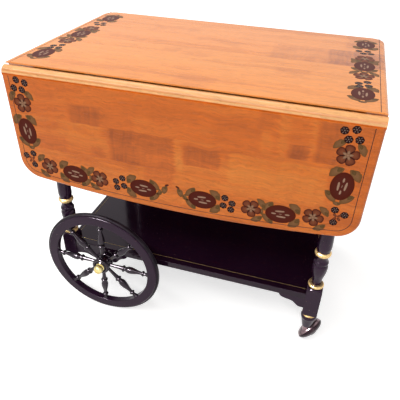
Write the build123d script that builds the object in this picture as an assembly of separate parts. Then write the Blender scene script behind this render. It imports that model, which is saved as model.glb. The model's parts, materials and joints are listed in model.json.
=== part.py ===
"""Drop leaf tea trolley: a wooden top with one drop leaf on a painted frame of four turned legs, with a
shelf, two spoked wheels on a steel axle and two tilted ball casters.

Millimetres, Z up. X runs along the trolley from the wheel end to the caster end, and the leaf hangs on
the -Y side. The origin is on the floor under the centre of the closed trolley. Everything is drawn on the
near side, -Y, and mirrored to the far side where the trolley has the same piece there.
"""
from build123d import *
from math import cos, radians, sin, sqrt
import os

# ---------------------------------------------------------------- driving dimensions
# Top and leaf
TOP_LENGTH = 860.0
TOP_WIDTH = 538.0
TOP_HEIGHT = 731.0
BOARD = 20.5             # thickness of the top and of the leaf
TOP_CORNER = 38.0        # the two far corners of the top
UPPER_ROUND = 8.0        # rounding of the upper arris of both boards
LOWER_ROUND = 3.0        # rounding of their lower arris
LEAF_OVER_WHEEL = 61.5   # from the top of the wheels up to the edge of the hanging leaf
LEAF_BOW = 28.0          # how far the ends of the bowed edge fall short of its middle
LEAF_CORNER = 55.0

# Rule joint between top and leaf: the leaf's quarter round turns under the top's hollow
LIP = 3.2                # thickness of the top's lip over the hollow
JOINT_GAP = 0.5          # between round and hollow, and between the two faces
PIN_DROP = 1.5           # the pin lies this far below the boards and this far inboard of the joint

# Leaf hinges
HINGE_SPACING = 270.0
HINGE_COUNT = 3
HINGE_LENGTH = 70.0
HINGE_PLATE = 2.0
HINGE_PIN_RADIUS = 1.6
KNUCKLE_RADIUS = 3.5
KNUCKLES = 5
KNUCKLE_GAP = 0.3
TOP_PLATE_WIDTH = 34.0
LEAF_PLATE_WIDTH = 46.0
KNUCKLE_ROOM = 0.5       # between a knuckle and whatever it turns in

# Frame
CASTER_END_OVERHANG = 60.0   # end of the top to the axis of the legs
WHEEL_END_OVERHANG = 80.0
SIDE_OVERHANG = 33.0
LEG_BLOCK = 40.0             # square blocks of the legs
TOP_BLOCK_HEIGHT = 110.0
APRON_HEIGHT = 100.0
APRON_BOARD = 19.0
APRON_SETBACK = 12.0         # behind the legs' faces on the long sides, which leaves room for the stays
END_APRON_SETBACK = 2.0
SHELF_BOARD = 18.0
SHELF_OVER_AXLE = 9.0        # from the middle of the axle up to the shelf's underside
SHELF_SETBACK = 2.0          # behind the legs' faces
SHELF_PAST_LEG = 2.0         # past the axis of the legs at both ends
SHELF_ROUND = 2.0
CORNER_BLOCK = 60.0          # length of a corner block along each apron
CORNER_BLOCK_HEIGHT = 60.0

# Turned legs, heights from the shelf's upper face or from the top block
BLOCK_BELOW_SHELF = 64.0     # lower arris tips of the shelf block on the caster-end legs
BLOCK_ABOVE_SHELF = 2.0
WHEEL_LEG_DROP = 50.0        # the wheel-end legs stop this far below the shelf's upper face
POMMEL = 20.0                # length of each rounded shoulder between square and round
FOOT_POMMEL = 14.0           # and of the shoulder over the foot
POMMEL_INSET = 0.5           # how far the round end of a shoulder lies inside the block's faces
BLANK_ROOM = 0.8             # how far the round blank that a block is cut from reaches past its arrises
LOW_RING = 4.0               # the three gilt rings: lengths and radii
LOW_RING_RADIUS = 20.3
MIDDLE_RING = 9.5
MIDDLE_RING_RADIUS = 20.8
UPPER_RING = 13.0
UPPER_RING_RADIUS = 20.8
MIDDLE_RING_HEIGHT = 24.0
UPPER_RING_HEIGHT = 130.5
NECK_RADIUS = 12.0
WAIST_RADIUS = 17.0
COVE = 2.0                   # depth of the hollow under the upper ring
LOWER_VASE = 68.0            # from the middle ring to the bead over the lower vase
SHOULDER = 10.0              # from the widest place of the vase to that bead
VASE_RADIUS = 20.0
BEAD = 12.0
BEAD_RADIUS = 19.2
BELL_RADIUS = 18.8
BELL_RISE = 16.0             # from the upper ring to the widest place of the bell
CAPITAL = 96.0               # turned stretch between the bell's neck and the top block
CAPITAL_SHOULDER = 32.0      # from the widest place of the capital up to its end
CAPITAL_BEAD = 10.0
FOOT_RADIUS = 22.0           # widest place of the foot
FOOT_SWELL = 16.0            # length of the swelling under the low ring
FOOT_NECK_RADIUS = 18.5      # beside the low ring
ANKLE_RADIUS = 14.0          # lower end of the foot

# Brackets and axle boards under the shelf
BRACKET_BOARD = 17.0
CASTER_BRACKET_LENGTH = 69.0
BRACKET_DROP = 33.0          # deepest place of the caster-end brackets, under the shelf
BRACKET_FLAT = 7.0           # level stretch of a caster-end bracket beside the leg
AXLE_BOARD_PAST_AXLE = 59.0
AXLE_BOARD_DROP = 34.0       # depth of the axle boards under the shelf at the axle
AXLE_BOARD_RISE = 6.0        # how much less deep they are at the leg
AXLE_BOARD_HOLLOW = 11.0     # and at the hollow beside it
OGEE_SLOPE = 0.3             # slope of these outlines at the waist of an ogee
OGEE_HORN = 0.2              # and lean of the steep end at the tip

# Wheels
WHEEL_RADIUS = 173.0
AXLE_FROM_LEG = 126.0        # along the trolley, from the wheel-end legs
AXLE_RADIUS = 6.0
WHEEL_CLEARANCE = 26.5       # shelf's edge to the back of the rim
RIM_WIDTH = 19.0
RIM_DEPTH = 26.7
RIM_ROUND = 3.0
RIM_INNER_ROUND = 1.5
TYRE_WIDTH = 12.0
TYRE_DEPTH = 8.0
TYRE_SEAT = 3.0              # depth of the groove that the tyre lies in
TYRE_ROUND = 2.5
SPOKES = 8
SPOKE_PHASE = -2.0           # degrees
TENON_RADIUS = 4.5
RIM_TENON = 10.0
HUB_TENON = 8.5
SPOKE_RING_PLACE = 39.0      # from the hub to the ring of a spoke
SPOKE_RING = 7.5             # length of that ring and of the bead near the rim
SPOKE_WAIST_RADIUS = 6.5
SPOKE_RING_RADIUS = 9.8
SPOKE_SHOULDER = 14.0        # from the ring to the widest place of the vase
SPOKE_VASE_RADIUS = 10.0
SPOKE_BEAD_PLACE = 20.0      # from the start of the bead to the rim
SPOKE_BEAD_RADIUS = 8.2
SPOKE_NECK_RADIUS = 4.7
SPOKE_CUP_RADIUS = 8.0       # flare that stands on the rim
HUB_RADIUS = 22.5
HUB_RING_RADIUS = 24.8
HUB_CREASE = 1.5             # depth of the creases beside the barrel
HUB_SWELL = 0.5              # how far the middle of the barrel swells
HUB_BACK_RADIUS = 19.0       # where the back of the hub meets its inner ring
HUB_END_RADIUS = 14.0
HUB_FLARE_RADIUS = 17.0
HUB_NOSE = 18.0              # from the wheel's plane to the outer end of the hub
HUB_BARREL = 10.0            # half the length of the barrel that holds the spokes
HUB_RING = 5.0
BUSH_RADIUS = 9.0
WASHER = 1.7
WASHER_RADIUS = 13.0
RETAINER = 2.5
RETAINER_RADIUS = 9.0
CAP_SEAT = 10.0              # depth of the hub's counterbore
CAP_SEAT_RADIUS = 10.5
CAP_SPIGOT = 3.5
CAP_COLLAR = 2.0
CAP_COLLAR_RADIUS = 12.5
CAP_BALL_RADIUS = 13.0
CAP_NECK = 1.0

# Casters
CASTER_RADIUS = 39.0
CASTER_DEPTH = 17.5          # depth of the wheel's dish
CASTER_TILT = 31.0           # degrees that the axle pin rises from level
CASTER_AZIMUTH = 152.0       # degrees, way that the hood faces, seen from above
CASTER_TRAIL = 23.0          # from the stem to the middle of the wheel, along the way that it rolls
HOOD_RADIUS = 38.0
HOOD_DEPTH = 18.0
HOOD_WALL = 2.6
HOOD_BOSS_RADIUS = 7.5
HOOD_GAP = 1.0               # between the rims of hood and wheel
CROWN_ANGLE = 84.0           # degrees of the ellipse before the flat crown
CASTER_PIN_RADIUS = 3.0
CASTER_PIN_REACH = 11.0      # to each side of the gap
CASTER_HUB_RADIUS = 9.0      # raised boss on the face of the wheel
CASTER_HUB_RISE = 1.0
STEM_RADIUS = 5.0
STEM_LENGTH = 36.0
STEM_COLLAR_RADIUS = 9.5
STEM_COLLAR_DROP = 25.0      # how far the collar runs down into the hood
SOCKET_WALL = 2.0
SOCKET_FLANGE = 1.0
SOCKET_FLANGE_RADIUS = 11.5

# Stays that hold the leaf level
STAY_SPACING = 280.0
STAY_SETBACK = 12.0          # pivot behind the hinge pin
STAY_DROP = 70.0             # pivot below the hinge pin
STAY_LENGTH = 137.5
STAY_TURN = 118.0            # degrees that a stay turns while the leaf rises through 90
STAY_WIDTH = 12.0
STAY_THICKNESS = 4.0
STAY_EYE_RADIUS = 5.0
STAY_TIP_RADIUS = 4.0
STAY_PIVOT_RADIUS = 2.5
STAY_EAR = 2.0
STAY_SIDE_ROOM = 0.3
BRACKET_PLATE = 2.0
BRACKET_WIDTH = 44.0
BRACKET_HEIGHT = 30.0
CATCH_PLATE = 2.5
CATCH_WIDTH = 30.0
CATCH_BEHIND = 16.0          # plate on the hinge side of the stay's tip
CATCH_AHEAD = 24.0           # and on the far side of it
CATCH_LIP = 3.9              # height of the stop that the tip pushes against
CATCH_LIP_LENGTH = 6.0

# Fits, dowels and screws
RUNNING = 0.05               # radial clearance of a pin or shaft in what turns on it
BODY_GAP = 0.3               # between pieces that move against each other
DOWEL_RADIUS = 4.0
DOWEL_LENGTH = 32.0
DOWEL_END_ROOM = 1.0
DOWEL_SPACING = 56.0
WOOD_FIT = 0.05              # radial clearance of a dowel or screw in its hole
SMALL_SCREW_RADIUS = 1.8
SMALL_SCREW = 14.0
LONG_SCREW_RADIUS = 2.4
COUNTERBORE_RADIUS = 6.0
SCREW_BITE = 13.0            # how far a long screw reaches into the board that it holds

# ---------------------------------------------------------------- places that follow from them
TOP_UNDER = TOP_HEIGHT - BOARD
JOINT_Y = -TOP_WIDTH / 2
HOLLOW_RADIUS = BOARD - LIP
ROUND_RADIUS = HOLLOW_RADIUS - JOINT_GAP
PIN_Y = JOINT_Y + PIN_DROP
PIN_Z = TOP_UNDER - PIN_DROP
LEAF_FACE_Y = JOINT_Y - JOINT_GAP
LEAF_REACH = PIN_Z - PIN_Y + LEAF_FACE_Y - 2 * WHEEL_RADIUS - LEAF_OVER_WHEEL
HINGE_PIN = Axis((0, PIN_Y, PIN_Z), (1, 0, 0))

CASTER_LEG_X = TOP_LENGTH / 2 - CASTER_END_OVERHANG
WHEEL_LEG_X = -TOP_LENGTH / 2 + WHEEL_END_OVERHANG
LEG_Y = -TOP_WIDTH / 2 + SIDE_OVERHANG
HALF_BLOCK = LEG_BLOCK / 2
POMMEL_RADIUS = HALF_BLOCK - POMMEL_INSET
LEG_FACE_Y = LEG_Y - HALF_BLOCK
APRON_Y = LEG_FACE_Y + APRON_SETBACK
APRON_INNER_Y = APRON_Y + APRON_BOARD
APRON_BOTTOM = TOP_UNDER - APRON_HEIGHT
WHEEL_APRON_X = WHEEL_LEG_X - HALF_BLOCK + END_APRON_SETBACK
CASTER_APRON_X = CASTER_LEG_X + HALF_BLOCK - END_APRON_SETBACK
SHELF_Y = LEG_FACE_Y + SHELF_SETBACK
SHELF_UNDER = WHEEL_RADIUS + SHELF_OVER_AXLE
SHELF_TOP = SHELF_UNDER + SHELF_BOARD
TOP_BLOCK_BOTTOM = TOP_UNDER - TOP_BLOCK_HEIGHT

AXLE_X = WHEEL_LEG_X + AXLE_FROM_LEG
AXLE_Z = WHEEL_RADIUS
RIM_BACK_Y = SHELF_Y - WHEEL_CLEARANCE
WHEEL_Y = RIM_BACK_Y - RIM_WIDTH / 2
RIM_OUTER = WHEEL_RADIUS - TYRE_DEPTH + TYRE_SEAT
RIM_INNER = RIM_OUTER - RIM_DEPTH
HUB_BACK = SHELF_Y - WASHER - BODY_GAP - WHEEL_Y    # from the wheel's plane to the back of the hub
BUSH_END = HUB_NOSE - CAP_SEAT
AXLE_END = BUSH_END + BODY_GAP + RETAINER + CAP_NECK

TILT = radians(CASTER_TILT)
HOOD_WAY = radians(CASTER_AZIMUTH)
CASTER_AXIS = Vector(cos(TILT) * cos(HOOD_WAY), cos(TILT) * sin(HOOD_WAY), sin(TILT))
HALF_GAP = HOOD_GAP / 2


def tilted_rise(radius, depth):
    """How far a half ellipsoid that faces along the tilted axle reaches above or below its centre."""
    return HALF_GAP * sin(TILT) + sqrt((radius * cos(TILT)) ** 2 + (depth * sin(TILT)) ** 2)


CASTER_Z = tilted_rise(CASTER_RADIUS, CASTER_DEPTH)
COLLAR_TOP = CASTER_Z + tilted_rise(HOOD_RADIUS, HOOD_DEPTH) + BODY_GAP
FOOT_BOTTOM = COLLAR_TOP + BODY_GAP + SOCKET_FLANGE
CASTER_ROLL = Vector(sin(HOOD_WAY), -cos(HOOD_WAY), 0)
CASTER_CENTRE = Vector(CASTER_LEG_X, LEG_Y, CASTER_Z) + CASTER_ROLL * CASTER_TRAIL
SOCKET_TOP = COLLAR_TOP + STEM_LENGTH + DOWEL_END_ROOM

STAY_PIVOT_Y = PIN_Y + STAY_SETBACK
STAY_PIVOT_Z = PIN_Z - STAY_DROP


# ---------------------------------------------------------------- helpers
def save(name, *shapes):
    """Write one sub-part: a single solid, or a group of separate solids."""
    solids = [solid for shape in shapes for solid in shape.solids()]
    export_step(Compound(solids) if len(solids) > 1 else solids[0], f"parts/{name}.step")


def far(shape):
    """The same piece on the far side."""
    return mirror(shape, about=Plane.XZ)


def block(x0, x1, y0, y1, z0, z1):
    """A box between two corners."""
    return Pos((x0 + x1) / 2, (y0 + y1) / 2, (z0 + z1) / 2) * Box(abs(x1 - x0), abs(y1 - y0), abs(z1 - z0))


def rod(start, way, length, radius):
    """A round bar from a point along a direction."""
    return extrude(Plane(origin=start, z_dir=way) * Circle(radius), length)


def ring(start, way, length, radius, bore):
    """A round bar with a hole through it."""
    return rod(start, way, length, radius) - rod(start, way, length, bore)


def screw(head, way, length, radius, room=0.0):
    """A countersunk screw with the face of its head at a point; with room, the hole that it needs."""
    wide = 2 * radius + room
    thin = radius + room
    cone = wide - thin
    outline = Polyline((0, 0), (wide, 0), (thin, cone), (thin, length - thin), (0, length), close=True)
    return Plane(origin=head, z_dir=way).location * revolve(make_face(Plane.XZ * outline), Axis.Z)


class Turning:
    """A lathe profile, drawn up from the axis; each call adds one stretch to a height and a radius."""

    def __init__(self, height, radius):
        self.edges = [Line((0, height), (radius, height))] if radius else []
        self.radius = radius
        self.height = height
        self.bottom = height

    def add(self, edge, height, radius):
        self.edges.append(edge)
        self.height = height
        self.radius = radius
        return self

    def to(self, height, radius):
        return self.add(Line((self.radius, self.height), (radius, height)), height, radius)

    def bulge(self, height, radius, middle):
        start = (self.radius, self.height)
        halfway = (middle, (self.height + height) / 2)
        return self.add(ThreePointArc(start, halfway, (radius, height)), height, radius)

    def turn_in(self, height, radius):
        """An arc that sets off upright."""
        start = (self.radius, self.height)
        return self.add(TangentArc(start, (radius, height), tangent=(0, 1)), height, radius)

    def turn_out(self, height, radius):
        """An arc that ends upright."""
        start = (self.radius, self.height)
        return self.add(TangentArc((radius, height), start, tangent=(0, -1)), height, radius)

    def flow(self, height, radius):
        """An ogee that sets off and ends upright: two arcs that meet half way."""
        half_height = (self.height + height) / 2
        half_radius = (self.radius + radius) / 2
        return self.turn_in(half_height, half_radius).turn_out(height, radius)

    def solid(self):
        edges = list(self.edges)
        if self.radius:
            edges.append(Line((self.radius, self.height), (0, self.height)))
        edges.append(Line((0, self.height), (0, self.bottom)))
        return revolve(make_face(Plane.XZ * (Curve() + edges)), Axis.Z)


def hang(shape):
    """Turn a piece that is drawn with the leaf raised down to where it hangs."""
    return shape.rotate(HINGE_PIN, 90)


# ---------------------------------------------------------------- top, leaf and rule joint
def hinge_places():
    first = -HINGE_SPACING * (HINGE_COUNT - 1) / 2
    return [first + HINGE_SPACING * count for count in range(HINGE_COUNT)]


def stay_places():
    return [-STAY_SPACING / 2, STAY_SPACING / 2]


def top_screw_places():
    """Where the corner blocks' screws go up into the top, on the near side."""
    inside = LEG_BLOCK / 2 + CORNER_BLOCK / 4
    y = LEG_Y + inside
    return [(WHEEL_LEG_X + inside, y), (CASTER_LEG_X - inside, y)]


def table_top():
    outline = Rectangle(TOP_LENGTH, TOP_WIDTH)
    outline = fillet(outline.vertices().group_by(Axis.Y)[-1], TOP_CORNER)
    board = extrude(Pos(0, 0, TOP_UNDER) * outline, BOARD)
    rim = [edge for edge in board.edges() if edge.center().Y > JOINT_Y + LIP]
    upper = [edge for edge in rim if edge.bounding_box().min.Z > TOP_HEIGHT - LIP]
    board = fillet(upper, UPPER_ROUND)
    rim = [edge for edge in board.edges() if edge.center().Y > JOINT_Y + LIP]
    lower = [edge for edge in rim if edge.bounding_box().max.Z < TOP_UNDER + LIP / 2]
    board = fillet(lower, LOWER_ROUND)
    board -= rod((-TOP_LENGTH / 2, JOINT_Y, TOP_UNDER), (1, 0, 0), TOP_LENGTH, HOLLOW_RADIUS)
    for x in hinge_places():
        for head in top_plate_heads(x):
            board -= screw(head, (0, 0, 1), SMALL_SCREW, SMALL_SCREW_RADIUS, WOOD_FIT)
    for hole in top_screws(WOOD_FIT):
        board -= hole
    return board


def drop_leaf():
    """Drawn raised, then hung."""
    half = TOP_LENGTH / 2
    edge_y = LEAF_FACE_Y - LEAF_REACH
    side_y = edge_y + LEAF_BOW
    outline = Curve() + [
        Line((-half, LEAF_FACE_Y), (-half, side_y)),
        ThreePointArc((-half, side_y), (0, edge_y), (half, side_y)),
        Line((half, side_y), (half, LEAF_FACE_Y)),
        Line((half, LEAF_FACE_Y), (-half, LEAF_FACE_Y)),
    ]
    face = make_face(outline)
    face = fillet(face.vertices().group_by(Axis.Y)[0], LEAF_CORNER)
    board = extrude(Pos(0, 0, TOP_UNDER) * face, BOARD)
    free = [edge for edge in board.edges() if edge.center().Y < LEAF_FACE_Y - LIP]
    board = fillet([edge for edge in free if edge.bounding_box().min.Z > TOP_HEIGHT - LIP], UPPER_ROUND)
    free = [edge for edge in board.edges() if edge.center().Y < LEAF_FACE_Y - LIP]
    board = fillet([edge for edge in free if edge.bounding_box().max.Z < TOP_UNDER + LIP / 2], LOWER_ROUND)
    board += quarter_round()
    for x in hinge_places():
        board -= hinge_room(x)
        for head in leaf_plate_heads(x):
            board -= screw(head, (0, 0, 1), SMALL_SCREW, SMALL_SCREW_RADIUS, WOOD_FIT)
    for x in stay_places():
        for head in catch_screw_heads(x):
            board -= screw(head, (0, 0, 1), SMALL_SCREW, SMALL_SCREW_RADIUS, WOOD_FIT)
    return hang(board)


def quarter_round():
    """The round on the leaf's inner edge, which runs the whole length of the joint."""
    across = cos(radians(45)) * ROUND_RADIUS
    root = LEAF_FACE_Y - LIP
    section = Curve() + [
        Line((root, TOP_UNDER), (JOINT_Y + ROUND_RADIUS, TOP_UNDER)),
        ThreePointArc(
            (JOINT_Y + ROUND_RADIUS, TOP_UNDER),
            (JOINT_Y + across, TOP_UNDER + across),
            (JOINT_Y, TOP_UNDER + ROUND_RADIUS),
        ),
        Line((JOINT_Y, TOP_UNDER + ROUND_RADIUS), (root, TOP_UNDER + ROUND_RADIUS)),
        Line((root, TOP_UNDER + ROUND_RADIUS), (root, TOP_UNDER)),
    ]
    return extrude(Pos(-TOP_LENGTH / 2, 0, 0) * make_face(Plane.YZ * section), TOP_LENGTH, dir=(1, 0, 0))


def hinge_room(x):
    """What the leaf loses for one hinge: a groove round the knuckles and a shallow gain over the plate."""
    length = HINGE_LENGTH + 2 * KNUCKLE_ROOM
    groove = rod((x - length / 2, PIN_Y, PIN_Z), (1, 0, 0), length, KNUCKLE_RADIUS + KNUCKLE_ROOM)
    inner = JOINT_Y + ROUND_RADIUS + KNUCKLE_ROOM
    gain = block(x - length / 2, x + length / 2, PIN_Y, inner, PIN_Z, TOP_UNDER + KNUCKLE_ROOM)
    return groove + gain


# ---------------------------------------------------------------- hinges
def knuckle_spans(x, first):
    """Start and length of every second knuckle of the hinge at x."""
    pitch = HINGE_LENGTH / KNUCKLES
    starts = [x - HINGE_LENGTH / 2 + pitch * count for count in range(first, KNUCKLES, 2)]
    return [(start + KNUCKLE_GAP / 2, pitch - KNUCKLE_GAP) for start in starts]


def hinge_plate(x, way, width, first, heads):
    """One leaf of a butt hinge, on the underside of a board; way is +1 inboard and -1 outboard."""
    edge = PIN_Y + way * (KNUCKLE_RADIUS + KNUCKLE_ROOM)
    bottom = TOP_UNDER - HINGE_PLATE
    plate = block(x - HINGE_LENGTH / 2, x + HINGE_LENGTH / 2, edge, PIN_Y + way * width, bottom, TOP_UNDER)
    for start, length in knuckle_spans(x, first):
        plate += block(start, start + length, PIN_Y, edge, bottom, TOP_UNDER)
        plate += rod((start, PIN_Y, PIN_Z), (1, 0, 0), length, KNUCKLE_RADIUS)
    plate -= rod((x - HINGE_LENGTH, PIN_Y, PIN_Z), (1, 0, 0), 2 * HINGE_LENGTH, HINGE_PIN_RADIUS + RUNNING)
    for head in heads:
        plate -= screw(head, (0, 0, 1), SMALL_SCREW, SMALL_SCREW_RADIUS, WOOD_FIT)
    return plate


def top_plate_heads(x):
    y = PIN_Y + TOP_PLATE_WIDTH - 2 * KNUCKLE_RADIUS
    return [(x + side * HINGE_LENGTH / 4, y, TOP_UNDER - HINGE_PLATE) for side in (-1, 1)]


def leaf_plate_heads(x):
    near = PIN_Y - LEAF_PLATE_WIDTH / 2
    outer = PIN_Y - LEAF_PLATE_WIDTH + 2 * KNUCKLE_RADIUS
    places = [(x - HINGE_LENGTH / 3, outer), (x + HINGE_LENGTH / 3, outer), (x, near)]
    return [(px, py, TOP_UNDER - HINGE_PLATE) for px, py in places]


def hinge_top_plates():
    return [hinge_plate(x, 1, TOP_PLATE_WIDTH, 0, top_plate_heads(x)) for x in hinge_places()]


def hinge_leaf_plates():
    return [hang(hinge_plate(x, -1, LEAF_PLATE_WIDTH, 1, leaf_plate_heads(x))) for x in hinge_places()]


def hinge_pins():
    return [
        rod((x - HINGE_LENGTH / 2, PIN_Y, PIN_Z), (1, 0, 0), HINGE_LENGTH, HINGE_PIN_RADIUS)
        for x in hinge_places()
    ]


def hinge_top_screws():
    heads = [head for x in hinge_places() for head in top_plate_heads(x)]
    return [screw(head, (0, 0, 1), SMALL_SCREW, SMALL_SCREW_RADIUS) for head in heads]


def leaf_screws():
    heads = [head for x in hinge_places() for head in leaf_plate_heads(x)]
    heads += [head for x in stay_places() for head in catch_screw_heads(x)]
    return [hang(screw(head, (0, 0, 1), SMALL_SCREW, SMALL_SCREW_RADIUS)) for head in heads]


# ---------------------------------------------------------------- stays
def stay_tip():
    """Where a stay's tip rests under the raised leaf, as (y, z)."""
    turn = radians(STAY_TURN)
    return STAY_PIVOT_Y - STAY_LENGTH * sin(turn), STAY_PIVOT_Z - STAY_LENGTH * cos(turn)


def catch_screw_heads(x):
    tip_y, _ = stay_tip()
    bottom = TOP_UNDER - CATCH_PLATE
    behind = tip_y + CATCH_BEHIND / 2 + STAY_TIP_RADIUS / 2
    ahead = tip_y - CATCH_AHEAD + CATCH_LIP_LENGTH
    return [(x - CATCH_WIDTH / 4, behind, bottom), (x + CATCH_WIDTH / 4, ahead, bottom)]


def stay_catch(x):
    """A plate under the leaf with a low stop, drawn raised and then hung."""
    tip_y, tip_z = stay_tip()
    lip_z = TOP_UNDER - CATCH_LIP
    overlap = lip_z - tip_z
    stop_y = tip_y - sqrt(STAY_TIP_RADIUS ** 2 - overlap ** 2) - BODY_GAP
    sides = (x - CATCH_WIDTH / 2, x + CATCH_WIDTH / 2)
    plate = block(*sides, tip_y + CATCH_BEHIND, tip_y - CATCH_AHEAD, TOP_UNDER - CATCH_PLATE, TOP_UNDER)
    plate += block(*sides, stop_y, stop_y - CATCH_LIP_LENGTH, lip_z, TOP_UNDER)
    for head in catch_screw_heads(x):
        plate -= screw(head, (0, 0, 1), SMALL_SCREW, SMALL_SCREW_RADIUS, WOOD_FIT)
    return hang(plate)


def stay_arm(x):
    """A flat bar with an eye and a round foot, hanging from its pivot."""
    left = x - STAY_WIDTH / 2
    foot_z = STAY_PIVOT_Z - STAY_LENGTH
    half = STAY_THICKNESS / 2
    arm = block(left, left + STAY_WIDTH, STAY_PIVOT_Y - half, STAY_PIVOT_Y + half, foot_z, STAY_PIVOT_Z)
    arm += rod((left, STAY_PIVOT_Y, STAY_PIVOT_Z), (1, 0, 0), STAY_WIDTH, STAY_EYE_RADIUS)
    arm += rod((left, STAY_PIVOT_Y, foot_z), (1, 0, 0), STAY_WIDTH, STAY_TIP_RADIUS)
    return arm - rod((left, STAY_PIVOT_Y, STAY_PIVOT_Z), (1, 0, 0), STAY_WIDTH, STAY_PIVOT_RADIUS + RUNNING)


def stay_bracket(x):
    """A plate on the apron with two ears that carry the pivot."""
    plate_y = APRON_Y - BRACKET_PLATE
    half_height = BRACKET_HEIGHT / 2
    bracket = block(
        x - BRACKET_WIDTH / 2, x + BRACKET_WIDTH / 2,
        plate_y, APRON_Y,
        STAY_PIVOT_Z - half_height, STAY_PIVOT_Z + half_height,
    )
    inner = STAY_WIDTH / 2 + STAY_SIDE_ROOM
    for start in (x - inner - STAY_EAR, x + inner):
        bracket += rod((start, STAY_PIVOT_Y, STAY_PIVOT_Z), (1, 0, 0), STAY_EAR, STAY_EYE_RADIUS)
        bracket += block(
            start, start + STAY_EAR,
            STAY_PIVOT_Y, APRON_Y,
            STAY_PIVOT_Z - STAY_EYE_RADIUS, STAY_PIVOT_Z + STAY_EYE_RADIUS,
        )
    for head in stay_bracket_heads(x):
        bracket -= screw(head, (0, 1, 0), SMALL_SCREW, SMALL_SCREW_RADIUS, WOOD_FIT)
    return bracket - stay_pivot(x)


def stay_bracket_heads(x):
    offset = (BRACKET_WIDTH / 2 + STAY_WIDTH / 2 + STAY_EAR) / 2
    return [(x + side * offset, APRON_Y - BRACKET_PLATE, STAY_PIVOT_Z) for side in (-1, 1)]


def stay_pivot(x):
    span = STAY_WIDTH + 2 * (STAY_SIDE_ROOM + STAY_EAR)
    return rod((x - span / 2, STAY_PIVOT_Y, STAY_PIVOT_Z), (1, 0, 0), span, STAY_PIVOT_RADIUS)


def stay_screws(room=0.0):
    heads = [head for x in stay_places() for head in stay_bracket_heads(x)]
    return [screw(head, (0, 1, 0), SMALL_SCREW, SMALL_SCREW_RADIUS, room) for head in heads]


# ---------------------------------------------------------------- aprons, corner blocks, dowels
def dowel(x, y, z, way, room=0.0):
    """A dowel centred on a joint; with room, the hole for it."""
    half = DOWEL_LENGTH / 2 + (DOWEL_END_ROOM if room else 0)
    start = Vector(x, y, z) - Vector(*way) * half
    return rod(start, way, 2 * half, DOWEL_RADIUS + room)


def dowel_heights():
    middle = TOP_UNDER - APRON_HEIGHT / 2
    return [middle - DOWEL_SPACING / 2, middle + DOWEL_SPACING / 2]


def near_apron_dowels(room=0.0):
    y = APRON_Y + APRON_BOARD / 2
    ends = [WHEEL_LEG_X + HALF_BLOCK, CASTER_LEG_X - HALF_BLOCK]
    return [dowel(x, y, z, (1, 0, 0), room) for x in ends for z in dowel_heights()]


def end_apron_dowels(x, room=0.0):
    """The dowels at the near end of the end apron whose middle plane is at x."""
    return [dowel(x, LEG_Y + HALF_BLOCK, z, (0, 1, 0), room) for z in dowel_heights()]


def shelf_dowels(room=0.0):
    ends = [WHEEL_LEG_X + HALF_BLOCK, CASTER_LEG_X - HALF_BLOCK]
    y = (LEG_Y + HALF_BLOCK + SHELF_Y) / 2
    return [dowel(x, y, SHELF_TOP - SHELF_BOARD / 2, (1, 0, 0), room) for x in ends]


def wheel_apron_middle():
    return WHEEL_APRON_X + APRON_BOARD / 2


def caster_apron_middle():
    return CASTER_APRON_X - APRON_BOARD / 2


def near_apron():
    start = WHEEL_LEG_X + HALF_BLOCK
    end = CASTER_LEG_X - HALF_BLOCK
    board = block(start, end, APRON_Y, APRON_INNER_Y, APRON_BOTTOM, TOP_UNDER)
    for hole in near_apron_dowels(WOOD_FIT):
        board -= hole
    return board


def front_apron():
    """The near apron also carries the stays and is cut away over the hinge plates."""
    board = near_apron()
    for x in hinge_places():
        half = HINGE_LENGTH / 2 + KNUCKLE_ROOM
        reach = PIN_Y + TOP_PLATE_WIDTH + KNUCKLE_ROOM
        board -= block(x - half, x + half, APRON_Y, reach, TOP_UNDER - HINGE_PLATE - KNUCKLE_ROOM, TOP_UNDER)
    for hole in stay_screws(WOOD_FIT):
        board -= hole
    return board


def end_apron(middle):
    inner = LEG_Y + HALF_BLOCK
    board = block(middle - APRON_BOARD / 2, middle + APRON_BOARD / 2, inner, -inner, APRON_BOTTOM, TOP_UNDER)
    for hole in end_apron_dowels(middle, WOOD_FIT):
        board -= hole + far(hole)
    return board


def corner_block(leg_x, apron_inner_x, way):
    """A glue block that fits round the inner corner of a leg; way is +1 at the wheel end."""
    side = APRON_INNER_Y
    leg_side = leg_x + way * HALF_BLOCK
    leg_inner = LEG_Y + HALF_BLOCK
    outline = Polyline(
        (leg_side, side),
        (leg_side + way * CORNER_BLOCK, side),
        (apron_inner_x, leg_inner + CORNER_BLOCK),
        (apron_inner_x, leg_inner),
        (leg_side, leg_inner),
        close=True,
    )
    bottom = TOP_UNDER - CORNER_BLOCK_HEIGHT
    return extrude(Pos(0, 0, bottom) * make_face(outline), CORNER_BLOCK_HEIGHT)


def corner_blocks():
    wheel_end = corner_block(WHEEL_LEG_X, WHEEL_APRON_X + APRON_BOARD, 1)
    caster_end = corner_block(CASTER_LEG_X, CASTER_APRON_X - APRON_BOARD, -1)
    near = [wheel_end, caster_end]
    bottom = TOP_UNDER - CORNER_BLOCK_HEIGHT
    head_z = top_screw_head()
    bored = []
    for piece, (x, y) in zip(near, top_screw_places()):
        piece -= rod((x, y, bottom), (0, 0, 1), head_z - bottom, COUNTERBORE_RADIUS)
        bored.append(piece - top_screw(x, y, WOOD_FIT))
    return bored + [far(piece) for piece in bored]


def top_screw_head():
    """Height of the heads of the screws that hold the top, half way up the corner blocks."""
    return TOP_UNDER - CORNER_BLOCK_HEIGHT / 2


def top_screw(x, y, room=0.0):
    length = TOP_UNDER - top_screw_head() + SCREW_BITE
    return screw((x, y, top_screw_head()), (0, 0, 1), length, LONG_SCREW_RADIUS, room)


def top_screws(room=0.0):
    near = [top_screw(x, y, room) for x, y in top_screw_places()]
    return near + [far(piece) for piece in near]


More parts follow.
